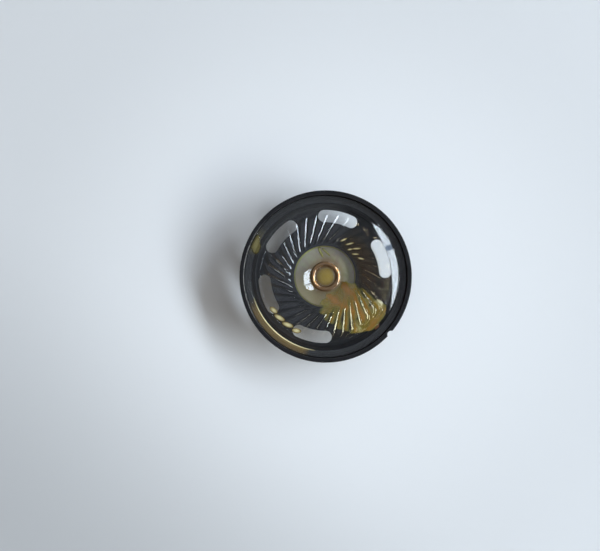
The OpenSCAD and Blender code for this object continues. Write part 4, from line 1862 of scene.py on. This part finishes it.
@dataclass
class Studio:
    """The pale floor, the round-ended window at the right, a weak warm lamp, the room and the camera overhead."""

    camera_x: float = -7.44
    camera_y: float = 0.29
    camera_height: float = 240.0
    view_width: float = 173.8
    sensor: float = 36.0
    floor_half: float = 3.0
    floor_colour: Colour = (0.89, 0.9, 0.91)
    # painted light: how far the floor's colour darkens away from the speaker and towards the lower left corner
    floor_painted_falloff: float = 0.74
    floor_painted_falloff_from: tuple[float, float] = (35.0, 100.0)
    floor_painted_falloff_share: float = 0.45
    floor_painted_corner_shade: float = 0.62
    floor_painted_corner_shade_from: tuple[float, float] = (35.0, 125.0)
    floor_painted_corner_shade_side: float = -126.87
    room: Colour = (0.06, 0.058, 0.053)
    sky: tuple[SkyPatch, ...] = (
        SkyPatch((0.4, 0.43, 0.45), 115.0, (50.0, 30.0), above=(0.55, 0.7)),
        SkyPatch((0.16, 0.145, 0.105), 180.0, (70.0, 35.0), below=(0.6, 0.8)),
        SkyPatch((2.3, 2.2, 1.9), -40.0, (34.0, 22.0), (0.34, 0.42), (0.56, 0.61)),
        SkyPatch((4.4, 4.6, 4.8), 62.0, (13.0, 8.0), (0.47, 0.51), (0.61, 0.65)),
        SkyPatch((0.2, 0.14, 0.08), 227.0, (42.0, 12.0), (0.35, 0.5), (0.8, 0.9)),
        SkyPatch((0.38, 0.41, 0.48), above=(0.82, 0.94)))
    window_azimuth: float = 14.0
    window_distance: float = 0.75
    window_across: float = -0.18
    window_height: float = 0.73
    window_size: tuple[float, float] = (1.32, 0.38)
    window_roll: float = 9.0
    window_radiance: float = 14.0
    window_colour: Colour = (0.89, 1.0, 1.11)
    bar_across: float = 0.12
    bar_width: float = 0.055
    bar_thick: float = 0.01
    bar_gap: float = 0.03
    bar_glow: Colour = (2.2, 3.0, 4.4)
    lamp_azimuth: float = 227.0
    lamp_zenith: float = 54.0
    lamp_distance: float = 1.1
    lamp_size: tuple[float, float] = (0.42, 0.11)
    lamp_radiance: float = 1.5
    lamp_colour: Colour = (1.0, 0.78, 0.42)

    def floor(self) -> None:
        """Lays the floor just under the magnet. Its colour carries painted light: it darkens away from the speaker,
        which leaves a painted pool of light round it, and darkens more towards the lower left corner as painted
        shade.
        """
        half = self.floor_half
        mesh = bpy.data.meshes.new("floor")
        mesh.from_pydata([(-half, -half, 0), (half, -half, 0), (half, half, 0), (-half, half, 0)], [], [(0, 1, 2, 3)])
        shader = Shader("floor_paper")
        body = shader.principled(Roughness=0.9, Specular_IOR_Level=0.1)
        x, y, _ = shader.axes()
        # painted light: the floor is painted darker away from the speaker and darker still towards the lower left
        # corner
        away = shader.radius().smooth(*self.floor_painted_falloff_from) * self.floor_painted_falloff_share
        corner = towards(x, y, self.floor_painted_corner_shade_side).smooth(*self.floor_painted_corner_shade_from)
        falloff_colour, corner_shade_colour = (tuple(share * c for c in self.floor_colour) for share in (self.floor_painted_falloff, self.floor_painted_corner_shade))
        colour = shader.blend_colour(away, self.floor_colour, falloff_colour)
        shader.link(shader.blend_colour(corner, colour, corner_shade_colour), body.inputs["Base Color"])
        mesh.materials.append(shader.finish(body))
        add_object("floor", mesh)

    def light(self, name: str, shape: str, place: Vector, target: Vector, size: tuple[float, float],
              radiance: float, colour: Colour, roll: float = 0.0) -> None:
        """Hangs an area light.

        Args:
            name: The light's name.
            shape: Blender's name of its outline.
            place: Its centre, in metres.
            target: The point that it faces.
            size: Its width and height, in metres.
            radiance: How bright its face is, where 1 is white.
            colour: Its colour.
            roll: How far it is turned about its own axis, in degrees.
        """
        lamp = bpy.data.lights.new(name, "AREA")
        lamp.shape = shape
        lamp.size, lamp.size_y = size
        fill = math.pi / 4 if shape == "ELLIPSE" else 1.0
        lamp.energy = radiance * math.pi * size[0] * size[1] * fill
        lamp.color = colour
        holder = add_object(name, lamp)
        holder.location = place
        facing = (target - place).to_track_quat("-Z", "Y") @ Quaternion((0.0, 0.0, 1.0), math.radians(roll))
        holder.rotation_euler = facing.to_euler()

    def window(self) -> None:
        """Hangs the window upright, with a bar in front of it."""
        turn = math.radians(self.window_azimuth)
        ahead = Vector((math.cos(turn), math.sin(turn), 0.0))
        side = Vector((-math.sin(turn), math.cos(turn), 0.0))
        up = Vector((0.0, 0.0, 1.0))
        place = ahead * self.window_distance + side * self.window_across + up * self.window_height
        self.light("window", "ELLIPSE", place, place - ahead, self.window_size, self.window_radiance,
                   self.window_colour, self.window_roll)
        near = ahead * (self.window_distance - self.bar_gap) + side * self.bar_across + up * self.window_height
        half, tall, thick = side * self.bar_width / 2, up * self.window_size[1] / 2, ahead * self.bar_thick / 2
        corners = [near + a * half + b * tall + c * thick for a in (-1, 1) for b in (-1, 1) for c in (-1, 1)]
        mesh = bpy.data.meshes.new("window_bar")
        mesh.from_pydata(corners, [], [
            (0, 1, 3, 2), (4, 6, 7, 5), (0, 4, 5, 1), (2, 3, 7, 6), (0, 2, 6, 4), (1, 5, 7, 3)])
        shader = Shader("bar_paint")
        body = shader.principled(Roughness=0.8, Emission_Strength=1.0)
        body.inputs["Emission Color"].default_value = (*self.bar_glow, 1)
        mesh.materials.append(shader.finish(body))
        add_object("window_bar", mesh)

    def world(self) -> None:
        """Fills the room with light: pale overhead and far off, dim and warm at the left, bright at the right."""
        world = bpy.data.worlds.new("room")
        world.use_nodes = True
        tree = world.node_tree
        split = tree.nodes.new("ShaderNodeSeparateXYZ")
        tree.links.new(tree.nodes.new("ShaderNodeTexCoord").outputs["Generated"], split.inputs[0])
        x, y, height = (Field(tree, split.outputs[axis]) for axis in "XYZ")
        colour = self.room
        for patch in self.sky:
            colour = mix_colours(tree, patch.share(x, y, height), colour, patch.colour)
        tree.links.new(colour, tree.nodes["Background"].inputs["Color"])
        bpy.context.scene.world = world

    def camera(self) -> None:
        """Hangs the camera straight above, a little to the left of the speaker."""
        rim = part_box("basket")[1][2]
        data = bpy.data.cameras.new("camera")
        data.sensor_width = self.sensor
        data.lens = self.sensor * self.camera_height / self.view_width
        data.clip_start, data.clip_end = 0.01, 20.0
        holder = add_object("camera", data)
        holder.location = (self.camera_x * MM, self.camera_y * MM, rim + self.camera_height * MM)
        bpy.context.scene.camera = holder

    def build(self) -> None:
        """Sets the floor, the lights and the camera."""
        self.floor()
        self.window()
        zenith = math.radians(self.lamp_zenith)
        place = Vector((*around(math.sin(zenith), self.lamp_azimuth), math.cos(zenith))) * self.lamp_distance
        self.light("warm_lamp", "RECTANGLE", place, Vector(), self.lamp_size, self.lamp_radiance, self.lamp_colour)
        self.world()
        self.camera()
        bpy.context.scene.view_settings.view_transform = "Standard"


def film_of_frame() -> Film:
    """Reads the film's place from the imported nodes.

    Returns:
        The film.
    """
    lo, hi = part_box("diaphragm_surround")
    cad_wall = 0.15
    cone = (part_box("diaphragm_cone")[1][0] + 0.02 * MM) / MM
    return Film(edge_z=lo[2] / MM + cad_wall / 2, outer=hi[0] / MM, cone=cone)


def main() -> None:
    """Builds the speaker and its studio, and reports each piece."""
    logging.basicConfig(level=logging.INFO, format="%(name)s: %(message)s")
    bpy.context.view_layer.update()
    finishes = Finishes()
    film = film_of_frame()
    assemblies = (
        Basket(film, finishes), Motor(finishes), Terminals(finishes), VoiceCoil(film, finishes),
        Leads(film, finishes), Diaphragm(film, finishes))
    for assembly in assemblies:
        for piece in assembly.build():
            LOG.info("%s: %s, %d faces", type(assembly).__name__, piece.name, len(piece.data.polygons))
    Studio().build()


if __name__ == "__main__":
    main()
